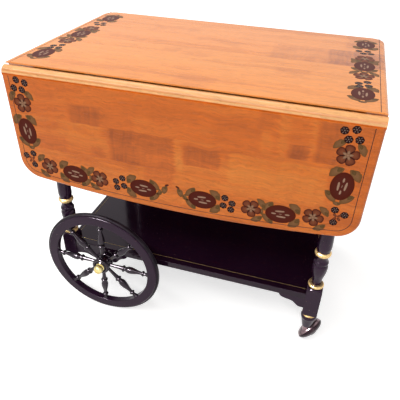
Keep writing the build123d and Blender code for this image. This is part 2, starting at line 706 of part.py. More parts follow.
# ---------------------------------------------------------------- legs
def squared(bottom, top, low_pommel, high_pommel):
    """A square block with rounded shoulders, of these lengths, that lead to the turning at its ends."""
    corner = HALF_BLOCK * sqrt(2) + BLANK_ROOM
    lathe = Turning(bottom - low_pommel, POMMEL_RADIUS if low_pommel else corner)
    if low_pommel:
        lathe.turn_out(bottom, corner)
    lathe.to(top, corner)
    if high_pommel:
        lathe.turn_in(top + high_pommel, POMMEL_RADIUS)
    square = block(-HALF_BLOCK, HALF_BLOCK, -HALF_BLOCK, HALF_BLOCK, lathe.bottom, lathe.height)
    return lathe.solid() & square


def turned_column():
    """The turning between the shelf block and the top block, with a stub that runs into each."""
    start = SHELF_TOP + BLOCK_ABOVE_SHELF + POMMEL
    middle = SHELF_TOP + MIDDLE_RING_HEIGHT
    bead = middle + MIDDLE_RING + LOWER_VASE
    upper = SHELF_TOP + UPPER_RING_HEIGHT
    bell = upper + UPPER_RING + BELL_RISE
    top = TOP_BLOCK_BOTTOM - POMMEL
    capital = top - CAPITAL
    lathe = Turning(start - POMMEL, NECK_RADIUS).to(start, NECK_RADIUS).to(start, WAIST_RADIUS)
    lathe.to(middle, WAIST_RADIUS).bulge(middle + MIDDLE_RING, WAIST_RADIUS, MIDDLE_RING_RADIUS)
    lathe.to(middle + MIDDLE_RING, NECK_RADIUS)
    lathe.flow(bead - SHOULDER, VASE_RADIUS).turn_in(bead, WAIST_RADIUS)
    lathe.bulge(bead + BEAD, WAIST_RADIUS, BEAD_RADIUS)
    lathe.bulge(upper, WAIST_RADIUS, WAIST_RADIUS - COVE)
    lathe.bulge(upper + UPPER_RING, WAIST_RADIUS, UPPER_RING_RADIUS)
    lathe.flow(bell, BELL_RADIUS).flow(capital, NECK_RADIUS)
    lathe.bulge(capital + CAPITAL_BEAD, NECK_RADIUS, WAIST_RADIUS)
    lathe.flow(top - CAPITAL_SHOULDER, BELL_RADIUS).flow(top - CAPITAL_BEAD, NECK_RADIUS)
    lathe.to(top - CAPITAL_BEAD, WAIST_RADIUS).bulge(top, WAIST_RADIUS, BEAD_RADIUS)
    lathe.to(top, NECK_RADIUS).to(TOP_BLOCK_BOTTOM, NECK_RADIUS)
    return lathe.solid()


def turned_foot():
    """The foot of a caster-end leg and the low ring, with a stub that runs into the shelf block."""
    block_bottom = SHELF_TOP - BLOCK_BELOW_SHELF
    ring_top = block_bottom - FOOT_POMMEL
    ring_bottom = ring_top - LOW_RING
    lathe = Turning(FOOT_BOTTOM, ANKLE_RADIUS).to(ring_bottom - FOOT_SWELL, LOW_RING_RADIUS)
    lathe.bulge(ring_bottom, FOOT_NECK_RADIUS, FOOT_RADIUS)
    lathe.bulge(ring_top, FOOT_NECK_RADIUS, LOW_RING_RADIUS)
    lathe.to(ring_top, NECK_RADIUS).to(block_bottom, NECK_RADIUS)
    return lathe.solid()


def leg(x, foot):
    """One near leg with its dowel holes, and a bore for the caster socket if it has a foot."""
    top_block = squared(TOP_BLOCK_BOTTOM, TOP_UNDER, POMMEL, 0)
    drop = BLOCK_BELOW_SHELF if foot else WHEEL_LEG_DROP
    low_pommel = FOOT_POMMEL if foot else 0
    shelf_block = squared(SHELF_TOP - drop, SHELF_TOP + BLOCK_ABOVE_SHELF, low_pommel, POMMEL)
    post = turned_column() + top_block + shelf_block
    if foot:
        post += turned_foot()
        bore = STEM_RADIUS + RUNNING + SOCKET_WALL
        post -= rod((0, 0, FOOT_BOTTOM), (0, 0, 1), SOCKET_TOP - FOOT_BOTTOM, bore)
    post = Pos(x, LEG_Y, 0) * post
    middle = caster_apron_middle() if foot else wheel_apron_middle()
    for hole in near_apron_dowels(WOOD_FIT) + end_apron_dowels(middle, WOOD_FIT) + shelf_dowels(WOOD_FIT):
        post -= hole
    return post


# ---------------------------------------------------------------- shelf and what hangs under it
def shelf():
    start = WHEEL_LEG_X - SHELF_PAST_LEG
    end = CASTER_LEG_X + SHELF_PAST_LEG
    board = block(start, end, SHELF_Y, -SHELF_Y, SHELF_UNDER, SHELF_TOP)
    board = fillet(board.edges().group_by(Axis.Z)[-1], SHELF_ROUND)
    for x in (WHEEL_LEG_X, CASTER_LEG_X):
        notch = block(x - HALF_BLOCK, x + HALF_BLOCK, LEG_FACE_Y, LEG_Y + HALF_BLOCK, SHELF_UNDER, SHELF_TOP)
        board -= notch + far(notch)
    for hole in shelf_dowels(WOOD_FIT) + shelf_screws(WOOD_FIT):
        board -= hole + far(hole)
    return board


def shelf_screw_places():
    """Screws up through the near axle board and the near caster-end bracket, as x."""
    leg_side = WHEEL_LEG_X + HALF_BLOCK
    return [
        (leg_side + AXLE_X - AXLE_BOARD_DROP) / 2,
        AXLE_X + AXLE_BOARD_DROP,
        CASTER_LEG_X - HALF_BLOCK - CASTER_BRACKET_LENGTH / 4,
        CASTER_LEG_X - HALF_BLOCK - CASTER_BRACKET_LENGTH / 2,
    ]


def shelf_screw_head():
    """Height of their heads, sunk well into the boards."""
    return SHELF_UNDER - SCREW_BITE


def shelf_screws(room=0.0):
    y = SHELF_Y + BRACKET_BOARD / 2
    length = SHELF_UNDER - shelf_screw_head() + SCREW_BITE
    return [
        screw((x, y, shelf_screw_head()), (0, 0, 1), length, LONG_SCREW_RADIUS, room)
        for x in shelf_screw_places()
    ]


def under_shelf_board(curve):
    """A board under the near edge of the shelf whose outline is closed by the shelf's underside."""
    board = extrude(Pos(0, SHELF_Y, 0) * make_face(Plane.XZ * curve), BRACKET_BOARD, dir=(0, 1, 0))
    y = SHELF_Y + BRACKET_BOARD / 2
    deep = SHELF_UNDER - BRACKET_DROP - AXLE_BOARD_DROP
    for x in shelf_screw_places():
        board -= rod((x, y, deep), (0, 0, 1), shelf_screw_head() - deep, COUNTERBORE_RADIUS)
    for hole in shelf_screws(WOOD_FIT):
        board -= hole
    return board


def caster_bracket():
    """An ogee bracket in the corner between shelf and caster-end leg."""
    leg_side = CASTER_LEG_X - HALF_BLOCK
    tip = leg_side - CASTER_BRACKET_LENGTH
    flat = leg_side - BRACKET_FLAT
    low = SHELF_UNDER - BRACKET_DROP
    waist = ((tip + leg_side) / 2, (SHELF_UNDER + low) / 2)
    curve = Curve() + [
        Line((tip, SHELF_UNDER), (leg_side, SHELF_UNDER)),
        Line((leg_side, SHELF_UNDER), (leg_side, low)),
        Line((leg_side, low), (flat, low)),
        Spline((flat, low), waist, tangents=((-1, 0), (-1, OGEE_SLOPE))),
        Spline(waist, (tip, SHELF_UNDER), tangents=((-1, OGEE_SLOPE), (-OGEE_HORN, 1))),
    ]
    return under_shelf_board(curve)


def axle_board():
    """The shaped board that carries one end of the axle, with a level cheek round it."""
    leg_side = WHEEL_LEG_X + HALF_BLOCK
    tip = AXLE_X + AXLE_BOARD_PAST_AXLE
    low = SHELF_UNDER - AXLE_BOARD_DROP
    cheek_start = AXLE_X - AXLE_BOARD_DROP
    cheek_end = AXLE_X + AXLE_RADIUS + BRACKET_FLAT
    heel = (leg_side, low + AXLE_BOARD_RISE)
    hollow = (leg_side + AXLE_BOARD_DROP, low + AXLE_BOARD_HOLLOW)
    waist = ((cheek_end + tip) / 2, (SHELF_UNDER + low) / 2)
    curve = Curve() + [
        Line((tip, SHELF_UNDER), (leg_side, SHELF_UNDER)),
        Line((leg_side, SHELF_UNDER), heel),
        Spline(heel, hollow, (cheek_start, low), tangents=((1, OGEE_SLOPE), (1, 0))),
        Line((cheek_start, low), (cheek_end, low)),
        Spline((cheek_end, low), waist, (tip, SHELF_UNDER), tangents=((1, 0), (OGEE_HORN, 1))),
    ]
    return under_shelf_board(curve) - axle()


# ---------------------------------------------------------------- axle and wheels
def outward(distance):
    """A point on the near end of the axle, at a distance out from the wheel's plane."""
    return AXLE_X, WHEEL_Y - distance, AXLE_Z


def axle():
    end = outward(AXLE_END)
    return rod(end, (0, 1, 0), -2 * end[1], AXLE_RADIUS)


def axle_washer():
    return ring((AXLE_X, SHELF_Y, AXLE_Z), (0, -1, 0), WASHER, WASHER_RADIUS, AXLE_RADIUS)


def axle_retainer():
    return ring(outward(BUSH_END + BODY_GAP), (0, -1, 0), RETAINER, RETAINER_RADIUS, AXLE_RADIUS)


def on_wheel(shape):
    """Place a piece that is drawn round the Z axis, outer face up, on the near wheel."""
    return Plane(origin=outward(0), x_dir=(1, 0, 0), z_dir=(0, -1, 0)).location * shape


def hoop(inner, outer, width, inner_round, outer_round):
    """A ring of rectangular section with rounded corners."""
    section = Pos((inner + outer) / 2, 0) * Rectangle(outer - inner, width)
    corners = section.vertices().group_by(Axis.X)
    section = fillet(corners[-1], outer_round)
    if inner_round:
        section = fillet(section.vertices().group_by(Axis.X)[0], inner_round)
    return revolve(Plane.XZ * section, Axis.Z)


def rim():
    hoop_solid = hoop(RIM_INNER, RIM_OUTER, RIM_WIDTH, RIM_INNER_ROUND, RIM_ROUND)
    groove = Pos(RIM_OUTER - TYRE_SEAT / 2, 0) * Rectangle(TYRE_SEAT, TYRE_WIDTH)
    hoop_solid -= revolve(Plane.XZ * groove, Axis.Z)
    for hole in spoke_tenons(WOOD_FIT):
        hoop_solid -= hole
    return on_wheel(hoop_solid)


def tyre():
    return on_wheel(hoop(RIM_OUTER - TYRE_SEAT, WHEEL_RADIUS, TYRE_WIDTH, 0, TYRE_ROUND))


def spoke_places():
    turns = [SPOKE_PHASE + 360 / SPOKES * count for count in range(SPOKES)]
    return [Rot(0, 0, turn) * Rot(0, 90, 0) for turn in turns]


def spoke_tenons(room):
    """Holes for the spokes in hub and rim."""
    start = HUB_RADIUS - HUB_TENON - DOWEL_END_ROOM
    end = RIM_INNER + RIM_TENON + DOWEL_END_ROOM
    hole = rod((0, 0, start), (0, 0, 1), end - start, TENON_RADIUS + room)
    return [place * hole for place in spoke_places()]


def spoke():
    """One turned spoke, drawn upright from hub to rim: neck, ring, vase, bead and cup."""
    ring_start = HUB_RADIUS + SPOKE_RING_PLACE
    vase = ring_start + SPOKE_RING + SPOKE_SHOULDER
    bead = RIM_INNER - SPOKE_BEAD_PLACE
    cup = RIM_INNER - BODY_GAP
    lathe = Turning(HUB_RADIUS - HUB_TENON, TENON_RADIUS).to(HUB_RADIUS, TENON_RADIUS)
    lathe.turn_in(ring_start, SPOKE_WAIST_RADIUS)
    lathe.bulge(ring_start + SPOKE_RING, SPOKE_WAIST_RADIUS, SPOKE_RING_RADIUS)
    lathe.flow(vase, SPOKE_VASE_RADIUS).flow(bead, SPOKE_NECK_RADIUS)
    lathe.bulge(bead + SPOKE_RING, SPOKE_NECK_RADIUS, SPOKE_BEAD_RADIUS)
    lathe.turn_in(cup, SPOKE_CUP_RADIUS)
    lathe.to(cup, TENON_RADIUS).to(RIM_INNER + RIM_TENON, TENON_RADIUS)
    return lathe.solid()


def spokes():
    one = spoke()
    return [on_wheel(place * one) for place in spoke_places()]


def hub():
    """Turned hub on its bush; the cap seats in its nose."""
    ring_out = HUB_BARREL + HUB_RING
    back = -HUB_BACK
    crease = HUB_RADIUS - HUB_CREASE
    lathe = Turning(back, HUB_END_RADIUS)
    lathe.flow(-ring_out, HUB_BACK_RADIUS)
    lathe.bulge(-HUB_BARREL, crease, HUB_RING_RADIUS)
    lathe.bulge(HUB_BARREL, crease, HUB_RADIUS + HUB_SWELL)
    lathe.bulge(ring_out, HUB_FLARE_RADIUS, HUB_RING_RADIUS)
    lathe.to(HUB_NOSE, HUB_END_RADIUS)
    body = lathe.solid() - rod((0, 0, back), (0, 0, 1), HUB_NOSE - back, BUSH_RADIUS)
    body -= rod((0, 0, BUSH_END), (0, 0, 1), CAP_SEAT, CAP_SEAT_RADIUS)
    for hole in spoke_tenons(WOOD_FIT):
        body -= hole
    return on_wheel(body)


def bush():
    length = BUSH_END + HUB_BACK
    return on_wheel(ring((0, 0, -HUB_BACK), (0, 0, 1), length, BUSH_RADIUS, AXLE_RADIUS + RUNNING))


def hub_cap():
    """A gilt ball on a collar, pressed into the nose of the hub."""
    collar_top = HUB_NOSE + CAP_COLLAR
    neck = collar_top + CAP_NECK
    neck_radius = CAP_BALL_RADIUS - 2 * CAP_NECK
    centre = neck + sqrt(CAP_BALL_RADIUS ** 2 - neck_radius ** 2)
    lathe = Turning(HUB_NOSE - CAP_SPIGOT, CAP_SEAT_RADIUS).to(HUB_NOSE, CAP_SEAT_RADIUS)
    lathe.to(HUB_NOSE, CAP_COLLAR_RADIUS).to(collar_top, CAP_COLLAR_RADIUS)
    lathe.to(neck, neck_radius)
    ball = ThreePointArc((neck_radius, neck), (CAP_BALL_RADIUS, centre), (0, centre + CAP_BALL_RADIUS))
    lathe.add(ball, centre + CAP_BALL_RADIUS, 0)
    return on_wheel(lathe.solid())


# ---------------------------------------------------------------- casters
def on_caster(shape):
    """Place a piece that is drawn round the Z axis, hood side up, on the near caster's tilted axle."""
    return Plane(origin=CASTER_CENTRE, z_dir=CASTER_AXIS).location * shape


def dish(radius, depth, side):
    """Half an ellipsoid with a small flat crown; side is +1 for the hood and -1 for the wheel."""
    start = side * HALF_GAP
    arc = EllipticalCenterArc((0, start), radius, depth, start_angle=0, arc_size=side * CROWN_ANGLE)
    crown = arc @ 1
    edges = [
        arc,
        Line(crown, (0, crown.Y)),
        Line((0, crown.Y), (0, start)),
        Line((0, start), (radius, start)),
    ]
    return revolve(make_face(Plane.XZ * (Curve() + edges)), Axis.Z)


def caster_pin(room=0.0):
    start = (0, 0, -CASTER_PIN_REACH)
    return on_caster(rod(start, (0, 0, 1), 2 * CASTER_PIN_REACH, CASTER_PIN_RADIUS + room))


def caster_hood():
    """Domed hood, open towards the wheel, with its boss, collar and stem."""
    shell = dish(HOOD_RADIUS, HOOD_DEPTH, 1) - dish(HOOD_RADIUS - HOOD_WALL, HOOD_DEPTH - HOOD_WALL, 1)
    boss = rod((0, 0, HALF_GAP), (0, 0, 1), HOOD_DEPTH, HOOD_BOSS_RADIUS) & dish(HOOD_RADIUS, HOOD_DEPTH, 1)
    collar_bottom = COLLAR_TOP - STEM_COLLAR_DROP
    centre = (CASTER_LEG_X, LEG_Y, collar_bottom)
    post = rod(centre, (0, 0, 1), STEM_COLLAR_DROP, STEM_COLLAR_RADIUS)
    post += rod(centre, (0, 0, 1), STEM_COLLAR_DROP + STEM_LENGTH, STEM_RADIUS)
    post -= on_caster(Pos(0, 0, HALF_GAP - CASTER_RADIUS) * Box(*[2 * CASTER_RADIUS] * 3))
    return on_caster(shell + boss) + post - caster_pin()


def caster_wheel():
    """Dished wheel, running on the tilted pin."""
    body = dish(CASTER_RADIUS, CASTER_DEPTH, -1)
    face = HALF_GAP + CASTER_DEPTH + CASTER_HUB_RISE
    body += rod((0, 0, -face), (0, 0, 1), CASTER_DEPTH / 2, CASTER_HUB_RADIUS)
    return on_caster(body) - caster_pin(RUNNING)


def caster_socket():
    """Steel sleeve in the foot of the leg, with a flange under it."""
    bottom = (CASTER_LEG_X, LEG_Y, FOOT_BOTTOM)
    flange = (CASTER_LEG_X, LEG_Y, FOOT_BOTTOM - SOCKET_FLANGE)
    outer = STEM_RADIUS + RUNNING + SOCKET_WALL
    sleeve = rod(bottom, (0, 0, 1), SOCKET_TOP - FOOT_BOTTOM, outer)
    sleeve += rod(flange, (0, 0, 1), SOCKET_FLANGE, SOCKET_FLANGE_RADIUS)
    return sleeve - rod(flange, (0, 0, 1), SOCKET_TOP - FOOT_BOTTOM + SOCKET_FLANGE, STEM_RADIUS + RUNNING)


# ---------------------------------------------------------------- the sub-parts
def build_top():
    save("table_top", table_top())
    save("drop_leaf", drop_leaf())
    save("hinge_top_plates", *hinge_top_plates())
    save("hinge_leaf_plates", *hinge_leaf_plates())
    save("hinge_pins", *hinge_pins())
    save("hinge_top_screws", *hinge_top_screws())
    save("leaf_screws", *leaf_screws())
    save("top_screws", *top_screws())


def build_stays():
    for name, x in zip(("wheel_end", "caster_end"), stay_places()):
        save(f"stay_arm_{name}", stay_arm(x))
    save("stay_brackets", *[stay_bracket(x) for x in stay_places()])
    save("stay_pivots", *[stay_pivot(x) for x in stay_places()])
    save("stay_catches", *[stay_catch(x) for x in stay_places()])
    save("stay_screws", *stay_screws())


def build_frame():
    save("apron_near", front_apron())
    save("apron_far", far(near_apron()))
    save("apron_wheel_end", end_apron(wheel_apron_middle()))
    save("apron_caster_end", end_apron(caster_apron_middle()))
    save("corner_blocks", *corner_blocks())
    dowels = near_apron_dowels() + end_apron_dowels(wheel_apron_middle())
    dowels += end_apron_dowels(caster_apron_middle())
    save("apron_dowels", *dowels, *[far(piece) for piece in dowels])
    save("shelf_dowels", *shelf_dowels(), *[far(piece) for piece in shelf_dowels()])
    for name, x, foot in (("wheel_end", WHEEL_LEG_X, False), ("caster_end", CASTER_LEG_X, True)):
        post = leg(x, foot)
        save(f"leg_{name}_near", post)
        save(f"leg_{name}_far", far(post))


def build_shelf():
    save("shelf", shelf())
    save("shelf_screws", *shelf_screws(), *[far(piece) for piece in shelf_screws()])
    pieces = {"bracket_caster_end": caster_bracket(), "axle_board": axle_board()}
    for name, piece in pieces.items():
        save(f"{name}_near", piece)
        save(f"{name}_far", far(piece))
    save("axle", axle())
    save("axle_washers", axle_washer(), far(axle_washer()))
    save("axle_retainers", axle_retainer(), far(axle_retainer()))


def build_wheels():
    pieces = {
        "rim": [rim()],
        "tyre": [tyre()],
        "spokes": spokes(),
        "hub": [hub()],
        "bush": [bush()],
        "hub_cap": [hub_cap()],
    }
    for name, solids in pieces.items():
        save(f"wheel_near_{name}", *solids)
        save(f"wheel_far_{name}", *[far(solid) for solid in solids])


def build_casters():
    pieces = {
        "hood": caster_hood(),
        "pin": caster_pin(),
        "wheel": caster_wheel(),
        "socket": caster_socket(),
    }
    for name, piece in pieces.items():
        save(f"caster_near_{name}", piece)
        save(f"caster_far_{name}", far(piece))


def main():
    os.makedirs("parts", exist_ok=True)
    build_top()
    build_stays()
    build_frame()
    build_shelf()
    build_wheels()
    build_casters()


main()
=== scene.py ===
import json
import math

import bmesh
import bpy
from bpy.props import FloatProperty, FloatVectorProperty, PointerProperty
from mathutils import Matrix, Vector

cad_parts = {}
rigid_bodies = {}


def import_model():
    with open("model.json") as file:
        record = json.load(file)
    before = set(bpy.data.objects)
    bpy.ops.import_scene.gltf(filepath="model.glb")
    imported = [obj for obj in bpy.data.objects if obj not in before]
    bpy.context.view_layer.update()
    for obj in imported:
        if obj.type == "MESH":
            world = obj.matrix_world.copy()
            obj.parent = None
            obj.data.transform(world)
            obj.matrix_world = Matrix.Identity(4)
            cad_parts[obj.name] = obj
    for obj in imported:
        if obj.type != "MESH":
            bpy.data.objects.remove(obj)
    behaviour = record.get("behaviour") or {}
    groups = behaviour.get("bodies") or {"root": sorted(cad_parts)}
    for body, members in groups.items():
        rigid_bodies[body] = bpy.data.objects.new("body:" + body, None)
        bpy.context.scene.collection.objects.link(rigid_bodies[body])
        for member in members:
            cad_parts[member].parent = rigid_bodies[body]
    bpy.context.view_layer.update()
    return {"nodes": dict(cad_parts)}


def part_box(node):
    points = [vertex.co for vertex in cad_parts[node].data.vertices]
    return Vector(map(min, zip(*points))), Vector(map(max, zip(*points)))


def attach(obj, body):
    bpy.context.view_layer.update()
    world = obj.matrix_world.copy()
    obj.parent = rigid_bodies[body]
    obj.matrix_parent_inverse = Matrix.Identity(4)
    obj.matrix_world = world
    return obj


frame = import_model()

bl_info = {
    "name": "Drop leaf tea trolley finish",
    "version": (1, 0, 0),
    "blender": (4, 5, 0),
    "location": "View3D > Sidebar > Trolley",
    "description": "Finishes, stencilled borders and lining for a drop leaf tea trolley",
    "category": "Object",
}

MM = 0.001


def colour(code):
    """Turn an sRGB hex value into the linear colour that a shader takes."""
    parts = [int(code[place:place + 2], 16) / 255 for place in (1, 3, 5)]
    linear = [part / 12.92 if part <= 0.04045 else ((part + 0.055) / 1.055) ** 2.4 for part in parts]
    return (*linear, 1.0)


def grey(value):
    """A colour stop that only carries a number."""
    return (value, value, value, 1.0)


def spacing(mm):
    """The noise scale whose features lie this many millimetres apart."""
    return 1 / (mm * MM)


def add(tree, kind, inputs=None, stops=None, **settings):
    """Add a node with its settings, and set or link its inputs.

    A node given as an input's value stands for its first output. Stops are those of a colour ramp.
    """
    made = tree.nodes.new(kind)
    for name, value in settings.items():
        setattr(made, name, value)
    for name, value in (inputs or {}).items():
        if isinstance(value, bpy.types.Node):
            value = value.outputs[0]
        if isinstance(value, bpy.types.NodeSocket):
            tree.links.new(value, made.inputs[name])
        else:
            made.inputs[name].default_value = value
    if stops:
        elements = made.color_ramp.elements
        elements.remove(elements[1])
        elements[0].position, elements[0].color = stops[0]
        for position, shade in stops[1:]:
            elements.new(position).color = shade
    return made


def emptied(owner):
    """The node tree of a new material or world, ready for its nodes."""
    owner.use_nodes = True
    owner.node_tree.nodes.clear()
    return owner.node_tree


def blank(name):
    """A new material, its empty tree, and the place on the object that its patterns read."""
    material = bpy.data.materials.new(name)
    tree = emptied(material)
    return material, tree, add(tree, "ShaderNodeTexCoord").outputs["Object"]


def surfaced(material, inputs):
    """End a material with one Principled shader that has these inputs."""
    tree = material.node_tree
    shader = add(tree, "ShaderNodeBsdfPrincipled", inputs)
    add(tree, "ShaderNodeOutputMaterial", {"Surface": shader})
    return material


# ---------------------------------------------------------------- sizes and colours to change
HUE = {"subtype": "COLOR", "size": 4, "min": 0, "max": 1}


class TrolleyWood(bpy.types.PropertyGroup):
    """Honey-stained maple of the top and the leaf."""
    leaf_stain: FloatVectorProperty(
        name="Leaf stain", description="Main colour of the leaf", default=colour("#D26714"), **HUE)
    top_stain: FloatVectorProperty(
        name="Top stain", description="Main colour of the top, a little bleached",
        default=colour("#EE8B2A"), **HUE)
    figure: FloatVectorProperty(
        name="Figure", description="Darker patches where the stain sank in", default=colour("#984508"),
        **HUE)
    light: FloatVectorProperty(
        name="Light wood", description="Pale wood that took less stain", default=colour("#EC9438"),
        **HUE)
    curl: FloatProperty(
        name="Curl", description="Spacing of the faint ripples across the grain", default=0.007,
        min=0.001, unit="LENGTH")
    fleck: FloatProperty(
        name="Fleck width", description="Width of the fine dark pores, drawn coarse enough to show",
        default=0.0022, min=0.0002, unit="LENGTH")


class TrolleyPaint(bpy.types.PropertyGroup):
    """Black lacquer and gilt of the frame."""
    black: FloatVectorProperty(
        name="Black", description="Black lacquer with a trace of plum", default=colour("#221022"), **HUE)
    gilt: FloatVectorProperty(
        name="Gilt", description="Gilt paint on the turned rings of the legs", default=colour("#E6C486"),
        **HUE)
    brush: FloatProperty(
        name="Brush mark", description="Spacing of the faint brush marks in the lacquer", default=0.0018,
        min=0.0002, unit="LENGTH")


class TrolleyStencil(bpy.types.PropertyGroup):
    """Stencilled borders of the top and the leaf."""
    size: FloatProperty(
        name="Size", description="Size of every motif against its drawing", default=1.0, min=0.5,
        max=1.5)
    film: FloatProperty(
        name="Film", description="Thickness of one coat of stencil colour", default=0.00003, min=0.00001,
        unit="LENGTH")
    medallion: FloatVectorProperty(
        name="Medallion", description="Oxblood ground of the medallions", default=colour("#521A0C"),
        **HUE)
    petal: FloatVectorProperty(
        name="Petal", description="Russet of the flower petals", default=colour("#85492F"), **HUE)
    foliage: FloatVectorProperty(
        name="Foliage", description="Olive bronze of the leaves", default=colour("#6C4A28"), **HUE)
    seed: FloatVectorProperty(
        name="Seed", description="Tan of the seeds in the medallions", default=colour("#A07E68"), **HUE)
    berry: FloatVectorProperty(
        name="Berry", description="Near black of the berries", default=colour("#220A0A"), **HUE)


class TrolleyLining(bpy.types.PropertyGroup):
    """Fine painted lines."""
    width: FloatProperty(
        name="Line width", description="Width of a painted line on the leaf and the top", default=0.0015,
        min=0.0003, unit="LENGTH")
    shelf_width: FloatProperty(
        name="Shelf line width", description="Width of a gilt line on the shelf", default=0.0012,
        min=0.0003, unit="LENGTH")
    inset: FloatProperty(
        name="Leaf inset", description="From the leaf's edge to its line", default=0.019, min=0.005,
        unit="LENGTH")
    top_inset: FloatProperty(
        name="Top inset", description="From the ends of the top to its lines", default=0.0155, min=0.005,
        unit="LENGTH")
    shelf_side: FloatProperty(
        name="Shelf side inset", description="From the long edges of the shelf to its lines",
        default=0.020, min=0.003, unit="LENGTH")
    shelf_end: FloatProperty(
        name="Shelf end inset", description="From the ends of the shelf to its lines", default=0.0125,
        min=0.003, unit="LENGTH")


class TrolleyStage(bpy.types.PropertyGroup):
    """Camera and lamps."""
    lens: FloatProperty(
        name="Lens", description="Focal length on a 36 mm sensor", default=41.346, min=10,
        unit="CAMERA")
    ambient: FloatProperty(
        name="Ambient", description="Strength of the even studio light", default=0.38, min=0)
    key: FloatProperty(
        name="Key", description="Power of the front softbox", default=46.0, min=0, unit="POWER")
    window: FloatProperty(
        name="Window", description="Power of the window softbox", default=9.0, min=0, unit="POWER")
    overhead: FloatProperty(
        name="Overhead", description="Power of the overhead softbox", default=28.0, min=0, unit="POWER")
    glint: FloatProperty(
        name="Glint", description="Power of the card that only the turned black parts reflect",
        default=230.0, min=0, unit="POWER")


GROUPS = {
    "trolley_wood": TrolleyWood,
    "trolley_paint": TrolleyPaint,
    "trolley_stencil": TrolleyStencil,
    "trolley_lining": TrolleyLining,
    "trolley_stage": TrolleyStage,
}


# ---------------------------------------------------------------- finishes
SIDES = ("near", "far")                     # of the nodes that come in pairs
PLUM_SHEEN = colour("#EDDDEA")              # the lacquer's shine is never quite neutral
PALE_WOOD_AND_HIGHLIGHT = colour("#F8C284")             # pale bare maple and a painted highlight, along the leaf's rounded edge
SOFT_END, SOFT_SIDE = 7.0 * MM, 1.5 * MM    # a patch of figure fades at its ends, and stops at a joint
THROUGH = 10.0                              # half the depth of a patch: right through its board
BOARD_SHIFT = 9.0                           # moves each board to another place in the pattern
BEND = 30.0 * MM                            # how far the grain wanders
ALONG_GRAIN = (0.07, 1.0, 1.0)              # draws a pattern out along the board
ACROSS_GRAIN = (1.0, 0.1, 0.1)              # and across it
RING_WOBBLE, RING_EDGE = 1.2, 0.3           # how far the edge of a gilt ring wanders, and fades each way,
RING_ROOM = 20.0                            # and where its ramp ends beyond the rings, in millimetres


def finish(material, *nodes):
    """Give CAD nodes their material."""
    for name in nodes:
        slots = frame["nodes"][name].data.materials
        slots.clear()
        slots.append(material)


def value_along(tree, coordinate, stops):
    """A value that changes along a coordinate, from stops of (place in millimetres, value)."""
    start, end = stops[0][0], stops[-1][0]
    share = add(tree, "ShaderNodeMapRange", {0: coordinate, 1: start * MM, 2: end * MM})
    return add(
        tree, "ShaderNodeValToRGB", {0: share},
        stops=[((at - start) / (end - start), grey(value)) for at, value in stops])


def patches_of(tree, place, across, patches):
    """Sum of soft-edged boxes, each (x from, x to, across from, across to, depth) in millimetres."""
    total = 0.0
    for x_from, x_to, low, high, depth in patches:
        middle, half, soft = [0.0] * 3, [THROUGH] * 3, [SOFT_END] * 3
        middle[0], half[0] = (x_from + x_to) / 2 * MM, (x_to - x_from) / 2 * MM
        middle[across], half[across] = (low + high) / 2 * MM, (high - low) / 2 * MM
        soft[across] = SOFT_SIDE
        away = add(tree, "ShaderNodeVectorMath", {0: place, 1: middle}, operation="SUBTRACT")
        away = add(tree, "ShaderNodeVectorMath", {0: away}, operation="ABSOLUTE")
        inside = add(
            tree, "ShaderNodeMapRange",
            {6: away, 7: [h - s for h, s in zip(half, soft)], 8: [h + s for h, s in zip(half, soft)],
             9: (1, 1, 1), 10: (0, 0, 0)},
            data_type="FLOAT_VECTOR", interpolation_type="SMOOTHSTEP")
        sides = add(tree, "ShaderNodeSeparateXYZ", {0: inside.outputs[1]})
        both = add(
            tree, "ShaderNodeMath", {0: sides.outputs[0], 1: sides.outputs[across]}, operation="MULTIPLY")
        total = add(tree, "ShaderNodeMath", {0: both, 1: depth, 2: total}, operation="MULTIPLY_ADD")
    return total


